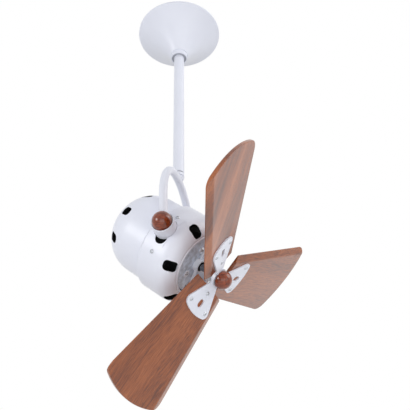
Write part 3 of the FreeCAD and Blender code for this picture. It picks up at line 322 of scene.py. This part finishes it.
def turned_wood(name):
    """Dark stained hardwood turned to a ball and lacquered.

    Dark streaks about 2.5 mm wide and 9 mm long mottle it, and the lacquer gives a bright sheen.
    """
    tint = bpy.context.scene.fan_colours
    material, tree, shader = blank(name)
    place = add(tree, "ShaderNodeTexCoord")
    turn = add(tree, "ShaderNodeMapping",
               {"Vector": place.outputs["Object"], "Rotation": (0.0, HEAD_TILT, 0.4),
                "Scale": (cells(9), cells(2.4), cells(2.8))})
    streak = add(tree, "ShaderNodeTexNoise",
                 {"Vector": turn.outputs[0], "Scale": 1.0, "Detail": 4.0})
    ramp = add(tree, "ShaderNodeValToRGB", {"Fac": streak.outputs["Fac"]})
    steps = ramp.color_ramp.elements
    steps[0].position, steps[0].color = 0.34, rgba(tint.ball_dark)
    steps[1].position, steps[1].color = 0.68, rgba(tint.ball)
    gloss = add(tree, "ShaderNodeMapRange",
                {"Value": streak.outputs["Fac"], "To Min": 0.32, "To Max": 0.42})
    link(tree, shader, Base_Color=ramp.outputs[0], Roughness=gloss.outputs[0])
    shader.inputs["Specular IOR Level"].default_value = 0.1
    shader.inputs["Coat Weight"].default_value = 0.85
    shader.inputs["Coat Roughness"].default_value = 0.14
    return material


def bare_metal(name, tone, grit_mm, rough, depth_mm):
    """Bare metal with the grit that its making leaves: casting sand, plating or turning marks."""
    material, tree, shader = blank(name)
    place = add(tree, "ShaderNodeTexCoord")
    grit = add(tree, "ShaderNodeTexNoise",
               {"Vector": place.outputs["Object"], "Scale": cells(grit_mm), "Detail": 4.0})
    stain = add(tree, "ShaderNodeTexNoise",
                {"Vector": place.outputs["Object"], "Scale": cells(9.0), "Detail": 2.0})
    dull = add(tree, "ShaderNodeMix",
               {"Factor": stain.outputs["Fac"], TONE_A: rgba(tone),
                TONE_B: rgba([c * 0.82 for c in tone])}, data_type="RGBA")
    gloss = add(tree, "ShaderNodeMapRange",
                {"Value": grit.outputs["Fac"], "To Min": rough - 0.08, "To Max": rough + 0.10})
    bump = add(tree, "ShaderNodeBump",
               {"Height": grit.outputs["Fac"], "Strength": 0.5, "Distance": depth_mm * MM})
    link(tree, shader, Base_Color=dull.outputs[TONE], Roughness=gloss.outputs[0],
         Normal=bump.outputs[0])
    shader.inputs["Metallic"].default_value = 1.0
    return material


def lacquered_casting(name, tone, rough, bore_mm=0.0, edge_mm=100.0, face_mm=200.0):
    """Sprayed lacquer on a sand casting: the sand's grain, about 1.2 mm, still shows through it.

    It lies in thicker and thinner patches about 7 mm wide. The tone covers the ring between a bore
    and an edge, as distances from the motor axis; inside the bore and beyond the edge it is black,
    painted shade for the dark bore and the shaded rim. What stands a millimetre proud of the face,
    a
    place along that axis, is paler: a painted highlight on the raised parts.
    """
    tint = bpy.context.scene.fan_colours
    material, tree, shader = blank(name)
    place = add(tree, "ShaderNodeTexCoord")
    sand = add(tree, "ShaderNodeTexNoise",
               {"Vector": place.outputs["Object"], "Scale": cells(1.2), "Detail": 4.0})
    cloud = add(tree, "ShaderNodeTexNoise",
                {"Vector": place.outputs["Object"], "Scale": cells(7), "Detail": 4.0})
    patch = add(tree, "ShaderNodeMapRange",
                {"Value": cloud.outputs["Fac"], "From Min": 0.36, "From Max": 0.66})
    coat = add(tree, "ShaderNodeMix",
               {"Factor": patch.outputs[0], TONE_A: rgba(tone),
                TONE_B: rgba([c * 0.62 for c in tone])}, data_type="RGBA")
    arm = add(tree, "ShaderNodeVectorMath",
              {0: place.outputs["Object"], 1: tuple(PIVOT)}, operation="SUBTRACT")
    along = add(tree, "ShaderNodeVectorMath",
                {0: arm.outputs[0], 1: tuple(motor_axis())}, operation="PROJECT")
    level = add(tree, "ShaderNodeVectorMath", {0: along.outputs[0]}, operation="LENGTH")
    # Painted highlight: what stands proud of the face is paler.
    proud = add(tree, "ShaderNodeMapRange",
                {"Value": level.outputs["Value"], "From Min": (face_mm + 0.2) * MM,
                 "From Max": (face_mm + 1.0) * MM})
    raised_highlight = add(tree, "ShaderNodeMix",
                 {"Factor": proud.outputs[0], TONE_A: coat.outputs[TONE],
                  TONE_B: rgba(tint.lacquer_highlight)}, data_type="RGBA")
    # Painted shade: black inside the bore and beyond the edge.
    away = add(tree, "ShaderNodeVectorMath",
               {0: arm.outputs[0], 1: along.outputs[0]}, operation="DISTANCE")
    off_middle = add(tree, "ShaderNodeMath",
                     {0: away.outputs["Value"], 1: (bore_mm + edge_mm) / 2 * MM},
                     operation="SUBTRACT")
    apart = add(tree, "ShaderNodeMath", {0: off_middle.outputs[0]}, operation="ABSOLUTE")
    off_ring_shade = add(tree, "ShaderNodeMath",
               {0: apart.outputs[0], 1: (edge_mm - bore_mm) / 2 * MM}, operation="GREATER_THAN")
    seen = add(tree, "ShaderNodeMix",
               {"Factor": off_ring_shade.outputs[0], TONE_A: raised_highlight.outputs[TONE], TONE_B: rgba(tint.shade_black)},
               data_type="RGBA")
    gloss = add(tree, "ShaderNodeMapRange",
                {"Value": sand.outputs["Fac"], "To Min": rough - 0.08, "To Max": rough + 0.10})
    bump = add(tree, "ShaderNodeBump",
               {"Height": sand.outputs["Fac"], "Strength": 0.6, "Distance": 0.08 * MM})
    link(tree, shader, Base_Color=seen.outputs[TONE], Roughness=gloss.outputs[0],
         Normal=bump.outputs[0])
    return material


def moulded(name, tone, rough, spark_mm):
    """Moulded rubber or nylon with the fine texture of the mould's spark-eroded wall."""
    material, tree, shader = blank(name)
    place = add(tree, "ShaderNodeTexCoord")
    spark = add(tree, "ShaderNodeTexNoise",
                {"Vector": place.outputs["Object"], "Scale": cells(spark_mm), "Detail": 3.0})
    worn = add(tree, "ShaderNodeMix",
               {"Factor": spark.outputs["Fac"], TONE_A: rgba(tone),
                TONE_B: rgba([c * 1.25 for c in tone])}, data_type="RGBA")
    gloss = add(tree, "ShaderNodeMapRange",
                {"Value": spark.outputs["Fac"], "To Min": rough - 0.1, "To Max": rough + 0.1})
    bump = add(tree, "ShaderNodeBump",
               {"Height": spark.outputs["Fac"], "Strength": 0.3, "Distance": 0.03 * MM})
    link(tree, shader, Base_Color=worn.outputs[TONE], Roughness=gloss.outputs[0],
         Normal=bump.outputs[0])
    return material


def banded(name, tone, pitch_mm, metallic, rough, along):
    """Stacked core plates or wound wire: fine bands across the motor axis, or along it.

    Plates and wire are about 0.6 mm; the bands are drawn twice as wide, so that they show.
    """
    material, tree, shader = blank(name)
    place = add(tree, "ShaderNodeTexCoord")
    level = add(tree, "ShaderNodeVectorMath",
                {0: place.outputs["Object"], 1: tuple(PIVOT)}, operation="SUBTRACT")
    turn = add(tree, "ShaderNodeMapping",
               {"Vector": level.outputs[0], "Rotation": (0.0, -HEAD_TILT, 0.0)})
    bands = add(tree, "ShaderNodeTexWave",
                {"Vector": turn.outputs[0], "Scale": CREST * cells(pitch_mm), "Distortion": 0.3},
                wave_type="BANDS" if along else "RINGS", bands_direction="X", rings_direction="X")
    shade = add(tree, "ShaderNodeMix",
                {"Factor": bands.outputs["Fac"], TONE_A: rgba([c * 0.6 for c in tone]),
                 TONE_B: rgba(tone)}, data_type="RGBA")
    bump = add(tree, "ShaderNodeBump",
               {"Height": bands.outputs["Fac"], "Strength": 0.5, "Distance": 0.15 * MM})
    link(tree, shader, Base_Color=shade.outputs[TONE], Normal=bump.outputs[0])
    shader.inputs["Metallic"].default_value = metallic
    shader.inputs["Roughness"].default_value = rough
    return material


def finish(material, *names):
    """Puts one material on CAD nodes."""
    for name in names:
        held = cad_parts[name].data.materials
        held.clear()
        held.append(material)


def motor_axis():
    """Unit vector along the motor shaft, towards the blades."""
    return np.array([math.cos(HEAD_TILT), 0.0, -math.sin(HEAD_TILT)])


def turn_about(axis, amount):
    """Turning matrix about X or Z: columns are the turned axes."""
    c, s = math.cos(amount), math.sin(amount)
    if axis == "X":
        return np.array([[1, 0, 0], [0, c, -s], [0, s, c]])
    return np.array([[c, -s, 0], [s, c, 0], [0, 0, 1]])


def head_basis():
    """Columns: the motor head's own axes, the second the tilt axis and the third the shaft."""
    shaft = motor_axis()
    side = np.array([0.0, 1.0, 0.0])
    return np.stack([np.cross(side, shaft), side, shaft], axis=1)


def blade_frame(spin_deg):
    """Blade's own axes and origin: turned round the shaft, pitched about its arm, then skewed."""
    size = bpy.context.scene.fan_sizes
    local = (turn_about("Z", math.radians(spin_deg)) @ turn_about("X", size.blade_pitch)
             @ turn_about("Z", size.blade_skew))
    basis = head_basis()
    return basis @ local, PIVOT + size.blade_plane * basis[:, 2]


def grid_faces(rows, columns):
    """Quads of a grid of vertices counted row by row, each row a closed loop."""
    i, j = np.meshgrid(np.arange(rows - 1), np.arange(columns), indexing="ij")
    k = (j + 1) % columns
    corners = [i * columns + j, i * columns + k, (i + 1) * columns + k, (i + 1) * columns + j]
    return np.stack(corners, -1).reshape(-1, 4)


# Points of one mesh that lie closer than this are merged.
MERGE = 0.002 * MM


def piece(name, points, quads, body, material, grain=None):
    """Closed mesh at the origin, doubles merged and shaded smooth, riding on a body."""
    mesh = bpy.data.meshes.new(name)
    mesh.from_pydata(points.tolist(), [], quads.tolist())
    if grain is not None:
        held = mesh.attributes.new("grain", "FLOAT_VECTOR", "POINT")
        held.data.foreach_set("vector", grain.astype(np.float32).ravel())
    work = bmesh.new()
    work.from_mesh(mesh)
    bmesh.ops.remove_doubles(work, verts=work.verts, dist=MERGE)
    bmesh.ops.recalc_face_normals(work, faces=work.faces)
    work.to_mesh(mesh)
    work.free()
    mesh.polygons.foreach_set("use_smooth", np.ones(len(mesh.polygons), bool))
    mesh.materials.append(material)
    mesh.update()
    made = bpy.data.objects.new(name, mesh)
    bpy.context.scene.collection.objects.link(made)
    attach(made, body)
    return made


def corner_centre(radius, slope, side, root, arc):
    """Centre of a rounded corner of the blade's plan, on its trailing side.

    It lies one radius inside the side line c = side + tan(slope) u and one radius inside the root
    line u = root, or inside the tip arc, given as the place of its centre and its radius.
    """
    k = math.tan(slope)
    b = side - radius / math.cos(slope)
    if arc is None:
        return np.array([root + radius, b + k * (root + radius)])
    half = arc[0] - k * b
    under = half * half - (1 + k * k) * (arc[0] ** 2 + b * b - (arc[1] - radius) ** 2)
    u = (half + math.sqrt(under)) / (1 + k * k)
    return np.array([u, b + k * u])


def side_line(size, half):
    """Slope of a long edge that has this half width at the tip arc, and its start on the axis."""
    corner = size.blade_tip - size.tip_round + math.sqrt(size.tip_round ** 2 - half ** 2)
    slope = math.atan2(half - size.root_half, corner - size.blade_root)
    return slope, size.root_half - math.tan(slope) * size.blade_root


def blade_loop(size, inset):
    """Closed outline of the blade's plan drawn in by an inset, with outward normals.

    Each arc is centre + (radius - inset) x normal: a root corner, the leading corner, the tip arc,
    the trailing corner and the other root corner. Straight sides join them in even steps.
    """
    arc = (size.blade_tip - size.tip_round, size.tip_round)
    slope, side = side_line(size, size.tip_half)
    trail_slope, trail_side = side_line(size, size.trail_half)
    flip = np.array([1.0, -1.0])
    lead_root = corner_centre(size.root_corner, slope, side, size.blade_root, None) * flip
    trail_root = corner_centre(size.root_corner, trail_slope, trail_side, size.blade_root, None)
    lead = corner_centre(size.lead_corner, slope, side, None, arc) * flip
    trail = corner_centre(size.trail_corner, trail_slope, trail_side, None, arc)
    lead_turn = math.atan2(lead[1], lead[0] - arc[0])
    trail_turn = math.atan2(trail[1], trail[0] - arc[0])
    lead_edge = math.pi / 2 + slope
    trail_edge = math.pi / 2 + trail_slope
    # Centre, radius, first and last turn, points on the arc and on the straight side after it.
    arcs = (
        (lead_root, size.root_corner, -math.pi, -lead_edge, 10, 70),
        (lead, size.lead_corner, -lead_edge, lead_turn, 24, 0),
        (np.array([arc[0], 0.0]), size.tip_round, lead_turn, trail_turn, 80, 0),
        (trail, size.trail_corner, trail_turn, trail_edge, 20, 70),
        (trail_root, size.root_corner, trail_edge, math.pi, 10, 30),
    )
    runs, normals = [], []
    for centre, radius, first, last, count, _ in arcs:
        turns = np.linspace(first, last, count)
        normals.append(np.stack([np.cos(turns), np.sin(turns)], 1))
        runs.append(centre + (radius - inset) * normals[-1])
    points, outward = [], []
    for number, (_, _, _, _, _, steps) in enumerate(arcs):
        points.append(runs[number])
        outward.append(normals[number])
        share = np.linspace(0, 1, steps + 2)[1:-1, None]
        start, stop = runs[number][-1], runs[(number + 1) % len(arcs)][0]
        points.append(start + (stop - start) * share)
        outward.append(np.repeat(normals[number][-1:], steps, 0))
    return np.concatenate(points), np.concatenate(outward)


# The blade's middle line stops short of the root and the tip. Its rings lie at these distances from
# the outline, in mm, closer where a bevel begins, and from the last one to the line in shares.
LINE_FROM_ROOT = 42 * MM
LINE_FROM_TIP = 54 * MM
LINE_SHARES = (1.0, 0.6, 0.3)
FRONT_RINGS = (20, 14, 12.1, 11.5, 9, 6, 3, 1.5)
REAR_RINGS = (1.5, 3, 6, 8.7, 9.3, 14, 20)
EASE_STEPS = 6


def board(size):
    """Vertices and quads of one blade in its own axes: along, across and out of its front face.

    Rings follow the plan's outline: on the front from the middle line out to the edge, round the
    eased edge in two quarter turns, and back over the rear face to the middle line. Within the
    bevel's width of the trailing side the front drops evenly to the bevel's depth, and the rear
    rises the same way along the leading side.
    """
    ease = size.ease
    loop, normal = blade_loop(size, ease)
    low, high = size.blade_root + LINE_FROM_ROOT, size.blade_tip - LINE_FROM_TIP
    middle = np.stack([np.clip(loop[:, 0], low, high), np.zeros(len(loop))], 1)
    inward = middle - loop
    inward /= np.linalg.norm(inward, axis=1)[:, None]
    inward /= -(inward * normal).sum(1)[:, None]

    def depth(at, half, hand, wide, deep):
        """Bevel depth at points of the plan, by their distance from one long edge."""
        slope, side = side_line(size, half)
        apart = (side + math.tan(slope) * at[:, 0] - hand * at[:, 1]) * math.cos(slope)
        return deep * np.clip(1 - apart / wide, 0, None)

    def front(at):
        """Height of the front face."""
        return -depth(at, size.trail_half, 1, size.bevel_wide, size.bevel_deep)

    def rear(at):
        """Height of the rear face."""
        return depth(at, size.tip_half, -1, size.back_bevel_wide, size.back_bevel_deep) - size.thick

    def drawn_in(inset_mm):
        """Outline drawn in by an inset."""
        return loop + inward * (inset_mm * MM - ease)

    flat = drawn_in(FRONT_RINGS[0])
    fronts = [flat + (middle - flat) * share for share in LINE_SHARES]
    fronts += [drawn_in(inset) for inset in FRONT_RINGS]
    rings = [np.column_stack([at, front(at)]) for at in fronts]
    top, base = front(loop), rear(loop)
    turn_high = np.minimum(ease, (top - base) / 2)
    for turn in np.linspace(0, math.pi / 2, EASE_STEPS):
        at = loop + normal * ease * math.sin(turn)
        rings.append(np.column_stack([at, top - turn_high * (1 - math.cos(turn))]))
    for turn in np.linspace(math.pi / 2, math.pi, EASE_STEPS):
        at = loop + normal * ease * math.sin(turn)
        rings.append(np.column_stack([at, base + turn_high * (1 + math.cos(turn))]))
    rears = [drawn_in(inset) for inset in REAR_RINGS] + [middle]
    rings += [np.column_stack([at, rear(at)]) for at in rears]
    return np.concatenate(rings), grid_faces(len(rings), len(loop))


# Cross recess of a screw head: half width and half length of a bar, run of its walls, and depth.
# Then the rings and spokes of the head's grid.
BAR_HALF = 0.45 * MM
BAR_REACH = 1.7 * MM
BAR_WALL = 0.25 * MM
BAR_DEEP = 1.0 * MM
HEAD_RINGS, HEAD_SPOKES = 30, 96


def screw_head(size):
    """Vertices and quads of a round screw head with a cross recess, standing on its seat.

    On a polar grid the crown is a spherical cap; the recess sinks two crossed bars, whose walls
    slope over a quarter of a millimetre. The rim and the seat close it below.
    """
    wide, high = size.screw_head, size.screw_high
    ball = (wide * wide + high * high) / (2 * high)
    radius = np.linspace(0, wide, HEAD_RINGS)[:, None]
    turn = np.linspace(0, 2 * math.pi, HEAD_SPOKES, endpoint=False)[None]
    x, y = radius * np.cos(turn), radius * np.sin(turn)
    cap = np.sqrt(ball * ball - radius * radius) - (ball - high)
    bar = np.minimum(np.maximum(np.abs(x) - BAR_HALF, np.abs(y) - BAR_REACH),
                     np.maximum(np.abs(y) - BAR_HALF, np.abs(x) - BAR_REACH))
    sunk = np.clip(0.5 - bar / BAR_WALL, 0, 1)
    crown = np.stack([x, y, cap - BAR_DEEP * sunk], -1)
    base = np.zeros((HEAD_SPOKES, 3))
    return np.concatenate([crown.reshape(-1, 3), base]), grid_faces(HEAD_RINGS + 1, HEAD_SPOKES)


def screws(name, places, body, node, material):
    """One piece of like screw heads at places given as a basis and a seat."""
    points, quads = screw_head(bpy.context.scene.fan_sizes)
    spread = np.concatenate([points @ basis.T + seat for basis, seat in places])
    faces = np.concatenate([quads + number * len(points) for number in range(len(places))])
    made = piece(name, spread, faces, body, material)
    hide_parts(node)


# Each board's turn round the shaft, the lean of its grain and how bold its figure is.
BLADES = (("top", -123.8, -28.0, 1.4), ("right", 116.2, 0.0, 0.4), ("low", -3.8, 0.0, 0.4))
# From one board to the next in the log, in metres.
NEXT_BOARD = np.array([0.31, 0.07, 0.013])
# Screws on an arm, along and across its blade, in mm.
ARM_SCREWS = ((52.6, -21.5), (52.6, 21.5), (29.5, 0.0))
# Screws in the shell: turn round the shaft in degrees and distance from it in mm. Then how far
# ahead of the tilt axis they all sit.
SHELL_SCREWS = ((-57.5, 70.1), (-110.3, 70.7), (57.5, 70.1), (110.3, 70.7))
SHELL_SEAT = 2.0
# Screws in the end shield: turns round the shaft, and their seat out from and along it.
SHIELD_SCREWS = (-16.0, 104.0, 224.0)
SHIELD_SEAT = (24.0, 0.0, 39.8)


class FAN_OT_paint(bpy.types.Operator):
    """Satin white powder coat on the canopy, rod, yoke, cups and blade holder"""

    bl_idname = "fan.paint"
    bl_label = "Painted steel"

    def execute(self, context):
        finish(powder_coat("Powder_coated_steel"), "canopy", "downrod", "swivel_stem", "yoke_tube",
               "pivot_cup_near", "pivot_cup_far", "blade_spider")
        return {"FINISHED"}


class FAN_OT_shells(bpy.types.Operator):
    """White coat outside and black painted shade inside on the two motor shells"""

    bl_idname = "fan.shells"
    bl_label = "Motor shells"

    def execute(self, context):
        finish(powder_coat("Powder_coat_with_painted_shade_inside", inside=True), "front_shell", "rear_shell")
        return {"FINISHED"}


class FAN_OT_blades(bpy.types.Operator):
    """Three wooden blades with eased edges, their grain along the board"""

    bl_idname = "fan.blades"
    bl_label = "Blades"

    def execute(self, context):
        size = context.scene.fan_sizes
        points, quads = board(size)
        for number, (word, spin, lean, bold) in enumerate(BLADES):
            material = lacquered_board("Lacquered_stained_mahogany_" + word, bold)
            basis, origin = blade_frame(spin)
            grain = points @ turn_about("Z", math.radians(lean)) + NEXT_BOARD * number
            made = piece("blade_" + word + "_board", points @ basis.T + origin, quads, "rotor",
                         material, grain)
            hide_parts("blade_" + word)
        return {"FINISHED"}


class FAN_OT_knobs(bpy.types.Operator):
    """Turned wood on the ball knobs and the finial"""

    bl_idname = "fan.knobs"
    bl_label = "Knobs and finial"

    def execute(self, context):
        finish(turned_wood("Lacquered_turned_hardwood"), "knob_near", "knob_far", "finial")
        return {"FINISHED"}


class FAN_OT_screws(bpy.types.Operator):
    """Cross-recess screws on the blade holder, the shells and the end shield"""

    bl_idname = "fan.screws"
    bl_label = "Screws"

    def execute(self, context):
        size = context.scene.fan_sizes
        zinc = context.scene.fan_colours.zinc
        material = bare_metal("Zinc_plated_screw_steel", zinc, 0.8, 0.42, 0.01)
        # A driven screw stops at any turn: its place, taken as radians, gives each its own.
        places = []
        for _, spin, _, _ in BLADES:
            basis, origin = blade_frame(spin)
            for along, across in ARM_SCREWS:
                seat = basis @ np.array([along * MM, across * MM, size.arm_thick])
                places.append((basis @ turn_about("Z", along + across), origin + seat))
        screws("blade_screw_heads", places, "rotor", "blade_screws", material)
        head = head_basis()
        places = []
        for spin, reach in SHELL_SCREWS:
            turned = head @ turn_about("Z", math.radians(spin))
            lying = np.stack([turned[:, 1], turned[:, 2], turned[:, 0]], axis=1)
            seat = turned @ (np.array([reach, 0.0, SHELL_SEAT]) * MM)
            places.append((lying @ turn_about("Z", spin), PIVOT + seat))
        screws("shell_screw_heads", places, "head", "shell_screws", material)
        places = []
        for spin in SHIELD_SCREWS:
            turned = head @ turn_about("Z", math.radians(spin))
            seat = turned @ (np.array(SHIELD_SEAT) * MM)
            places.append((turned @ turn_about("Z", spin), PIVOT + seat))
        screws("shield_screw_heads", places, "head", "shield_screws", material)
        return {"FINISHED"}


class FAN_OT_castings(bpy.types.Operator):
    """Bare cast aluminium on the blade hub; lacquer with painted shade and highlight on the front
    shield; black painted shade on the motor frame and rear shield
    """

    bl_idname = "fan.castings"
    bl_label = "Castings"

    def execute(self, context):
        tint = context.scene.fan_colours
        finish(bare_metal("Sand_cast_aluminium", tint.cast, 0.7, 0.45, 0.05), "blade_hub")
        finish(lacquered_casting("Aluminium_lacquer_with_painted_light", tint.lacquer, 0.38,
                                 bore_mm=7.6, edge_mm=44.6, face_mm=38.5), "front_shield")
        # Painted shade: the motor frame and rear shield are black, for the dark seen through the
        # vents.
        finish(lacquered_casting("Black_painted_shade_casting", tint.shade_black, 0.7),
               "motor_frame", "rear_shield")
        return {"FINISHED"}


class FAN_OT_hardware(bpy.types.Operator):
    """Zinc on the hanger, swivel nut and pivot studs, a shaft darkened by painted shade, and bronze
    bushes
    """

    bl_idname = "fan.hardware"
    bl_label = "Hardware"

    def execute(self, context):
        tint = context.scene.fan_colours
        finish(bare_metal("Zinc_plated_steel", tint.zinc, 0.8, 0.32, 0.01), "hanger_bracket",
               "hanger_bolt", "hanger_nut", "swivel_spring", "swivel_nut", "pivot_stud_near",
               "pivot_stud_far")
        # Painted shade: the shaft's tone is dark, for the dark bore it mirrors.
        finish(bare_metal("Ground_steel_painted_dark", tint.shaft, 0.5, 0.22, 0.005), "motor_shaft")
        finish(bare_metal("Turned_sintered_bronze", tint.bronze, 0.5, 0.4, 0.02), "front_bearing",
               "rear_bearing", "swivel_plug", "knob_insert_near", "knob_insert_far")
        return {"FINISHED"}


class FAN_OT_motor(bpy.types.Operator):
    """Core plates and varnished winding of the motor"""

    bl_idname = "fan.motor"
    bl_label = "Motor"

    def execute(self, context):
        tint = context.scene.fan_colours
        finish(banded("Varnished_core_plates", tint.core, 1.2, 0.6, 0.55, along=True),
               "stator_core", "rotor_core")
        finish(banded("Varnished_copper_winding", tint.wire, 1.2, 0.7, 0.35, along=False),
               "stator_winding")
        return {"FINISHED"}


class FAN_OT_mouldings(bpy.types.Operator):
    """Rubber grip ring and nylon bushes and washers"""

    bl_idname = "fan.mouldings"
    bl_label = "Mouldings"

    def execute(self, context):
        tint = context.scene.fan_colours
        finish(moulded("Moulded_rubber", tint.rubber, 0.7, 0.6), "canopy_grip_ring")
        finish(moulded("Moulded_nylon", tint.nylon, 0.5, 0.8), "hanger_bushes", "swivel_washer",
               "friction_washers")
        return {"FINISHED"}


# The camera as worked out from the photograph, in metres; the lens is for a 36 mm sensor.
CAMERA_PLACE = (0.2296, -0.8173, -1.0542)
CAMERA_YAW = math.radians(-12.81)
CAMERA_PITCH = math.radians(36.56)
CAMERA_ROLL = math.radians(-1.49)
CAMERA_LENS = 57.5
CAMERA_SENSOR = 36.0
# The floor's level and half its side, in metres, and how brightly it shows to the eye by itself.
FLOOR_LEVEL = -1.7
FLOOR_REACH = 4.0
FLOOR_GLOW = 0.5
# Level of the surround where it only lights the fan.
SURROUND_LIGHT = 0.52
# Soft boxes: place and width in metres, and power in watts. All of them face one point.
LAMPS = (
    ("left", (-1.29, -1.48, -0.50), 0.7, 11.5),
    ("right", (1.70, -0.84, -1.15), 1.0, 3.6),
    ("below", (0.40, -1.29, -1.55), 1.5, 9.6),
    ("above", (1.86, -0.16, 0.45), 1.2, 15.5),
    ("behind", (0.76, 1.85, -0.68), 1.4, 1.8),
)
LAMP_AIM = Vector((0.05, 0.0, -0.4))


class FAN_OT_stage(bpy.types.Operator):
    """Floor, white surround, soft lamps and the camera"""

    bl_idname = "fan.stage"
    bl_label = "Stage"

    def execute(self, context):
        scene = context.scene
        scene.view_settings.view_transform = "Standard"
        self.floor(scene)
        self.surround(scene)
        self.lamps(scene)
        self.camera(scene)
        return {"FINISHED"}

    def clear_rays(self, tree):
        """Socket that is 1 for what the eye sees, straight or mirrored, and 0 for lighting."""
        path = add(tree, "ShaderNodeLightPath")
        seen = add(tree, "ShaderNodeMath",
                   {0: path.outputs["Is Camera Ray"], 1: path.outputs["Is Glossy Ray"]},
                   operation="MAXIMUM")
        clear = add(tree, "ShaderNodeMath",
                    {0: seen.outputs[0], 1: path.outputs["Is Transmission Ray"]},
                    operation="MAXIMUM")
        return clear.outputs[0]

    def floor(self, scene):
        """Flat square well below the fan, pale to the eye and still taking the fan's shadow."""
        mesh = bpy.data.meshes.new("floor")
        corners = [(x * FLOOR_REACH, y * FLOOR_REACH, FLOOR_LEVEL)
                   for x, y in ((-1, -1), (1, -1), (1, 1), (-1, 1))]
        mesh.from_pydata(corners, [], [(0, 1, 2, 3)])
        material, tree, shader = blank("Painted_studio_floor")
        place = add(tree, "ShaderNodeTexCoord")
        cloud = add(tree, "ShaderNodeTexNoise",
                    {"Vector": place.outputs["Object"], "Scale": cells(300)})
        tone = add(tree, "ShaderNodeMix",
                   {"Factor": cloud.outputs["Fac"], TONE_A: rgba(scene.fan_colours.floor),
                    TONE_B: rgba([c * 0.97 for c in scene.fan_colours.floor])}, data_type="RGBA")
        pale = add(tree, "ShaderNodeMath",
                   {0: self.clear_rays(tree), 1: FLOOR_GLOW}, operation="MULTIPLY")
        link(tree, shader, Base_Color=tone.outputs[TONE], Emission_Color=tone.outputs[TONE],
             Emission_Strength=pale.outputs[0])
        shader.inputs["Roughness"].default_value = 0.8
        mesh.materials.append(material)
        floor = bpy.data.objects.new("floor", mesh)
        scene.collection.objects.link(floor)

    def surround(self, scene):
        """White to the eye and in reflections; a plain soft level for lighting."""
        world = bpy.data.worlds.new("studio")
        world.use_nodes = True
        tree = world.node_tree
        tree.nodes.clear()
        level = add(tree, "ShaderNodeMapRange",
                    {"Value": self.clear_rays(tree), "To Min": SURROUND_LIGHT, "To Max": 1.0})
        back = add(tree, "ShaderNodeBackground",
                   {"Color": (1.0, 1.0, 1.0, 1.0), "Strength": level.outputs[0]})
        add(tree, "ShaderNodeOutputWorld", {"Surface": back.outputs[0]})
        scene.world = world

    def lamps(self, scene):
        """Five soft boxes: two beside the camera, one below it, one high up and one far behind."""
        for name, place, wide, power in LAMPS:
            lamp = bpy.data.lights.new(name, "AREA")
            lamp.shape = "SQUARE"
            lamp.size = wide
            lamp.energy = power
            held = bpy.data.objects.new(name, lamp)
            facing = (LAMP_AIM - Vector(place)).to_track_quat("-Z", "Y")
            held.matrix_world = Matrix.Translation(place) @ facing.to_matrix().to_4x4()
            scene.collection.objects.link(held)

    def camera(self, scene):
        """Camera below and beside the fan, looking up, turned by yaw, pitch and roll."""
        ahead = Vector((math.sin(CAMERA_YAW) * math.cos(CAMERA_PITCH),
                        math.cos(CAMERA_YAW) * math.cos(CAMERA_PITCH), math.sin(CAMERA_PITCH)))
        level = Vector((math.cos(CAMERA_YAW), -math.sin(CAMERA_YAW), 0.0))
        above = level.cross(ahead)
        right = level * math.cos(CAMERA_ROLL) + above * math.sin(CAMERA_ROLL)
        up = above * math.cos(CAMERA_ROLL) - level * math.sin(CAMERA_ROLL)
        lens = bpy.data.cameras.new("camera")
        lens.lens = CAMERA_LENS
        lens.sensor_width = CAMERA_SENSOR
        held = bpy.data.objects.new("camera", lens)
        turn = Matrix((right, up, -ahead)).transposed().to_4x4()
        held.matrix_world = Matrix.Translation(CAMERA_PLACE) @ turn
        scene.collection.objects.link(held)
        scene.camera = held


OPERATORS = (FAN_OT_paint, FAN_OT_shells, FAN_OT_blades, FAN_OT_knobs, FAN_OT_screws,
             FAN_OT_castings, FAN_OT_hardware, FAN_OT_motor, FAN_OT_mouldings, FAN_OT_stage)


class FAN_PT_sidebar(bpy.types.Panel):
    """Steps and settings of the fan"""

    bl_idname = "FAN_PT_sidebar"
    bl_label = "Ceiling fan"
    bl_space_type = "VIEW_3D"
    bl_region_type = "UI"
    bl_category = "Fan"

    def draw(self, context):
        column = self.layout.column(align=True)
        for step in OPERATORS:
            column.operator(step.bl_idname)
        for group in (context.scene.fan_sizes, context.scene.fan_colours):
            box = self.layout.box()
            for name in group.__annotations__:
                box.prop(group, name)


CLASSES = (FanSizes, FanColours, *OPERATORS, FAN_PT_sidebar)


def register():
    """Registers the classes and hangs the settings on the scene."""
    for item in CLASSES:
        bpy.utils.register_class(item)
    bpy.types.Scene.fan_sizes = PointerProperty(type=FanSizes)
    bpy.types.Scene.fan_colours = PointerProperty(type=FanColours)


def unregister():
    """Takes the settings and the classes away again."""
    del bpy.types.Scene.fan_colours
    del bpy.types.Scene.fan_sizes
    for item in reversed(CLASSES):
        bpy.utils.unregister_class(item)


def main():
    """Runs every step in order."""
    register()
    for step in OPERATORS:
        group, name = step.bl_idname.split(".")
        getattr(getattr(bpy.ops, group), name)()


if __name__ == "__main__":
    main()
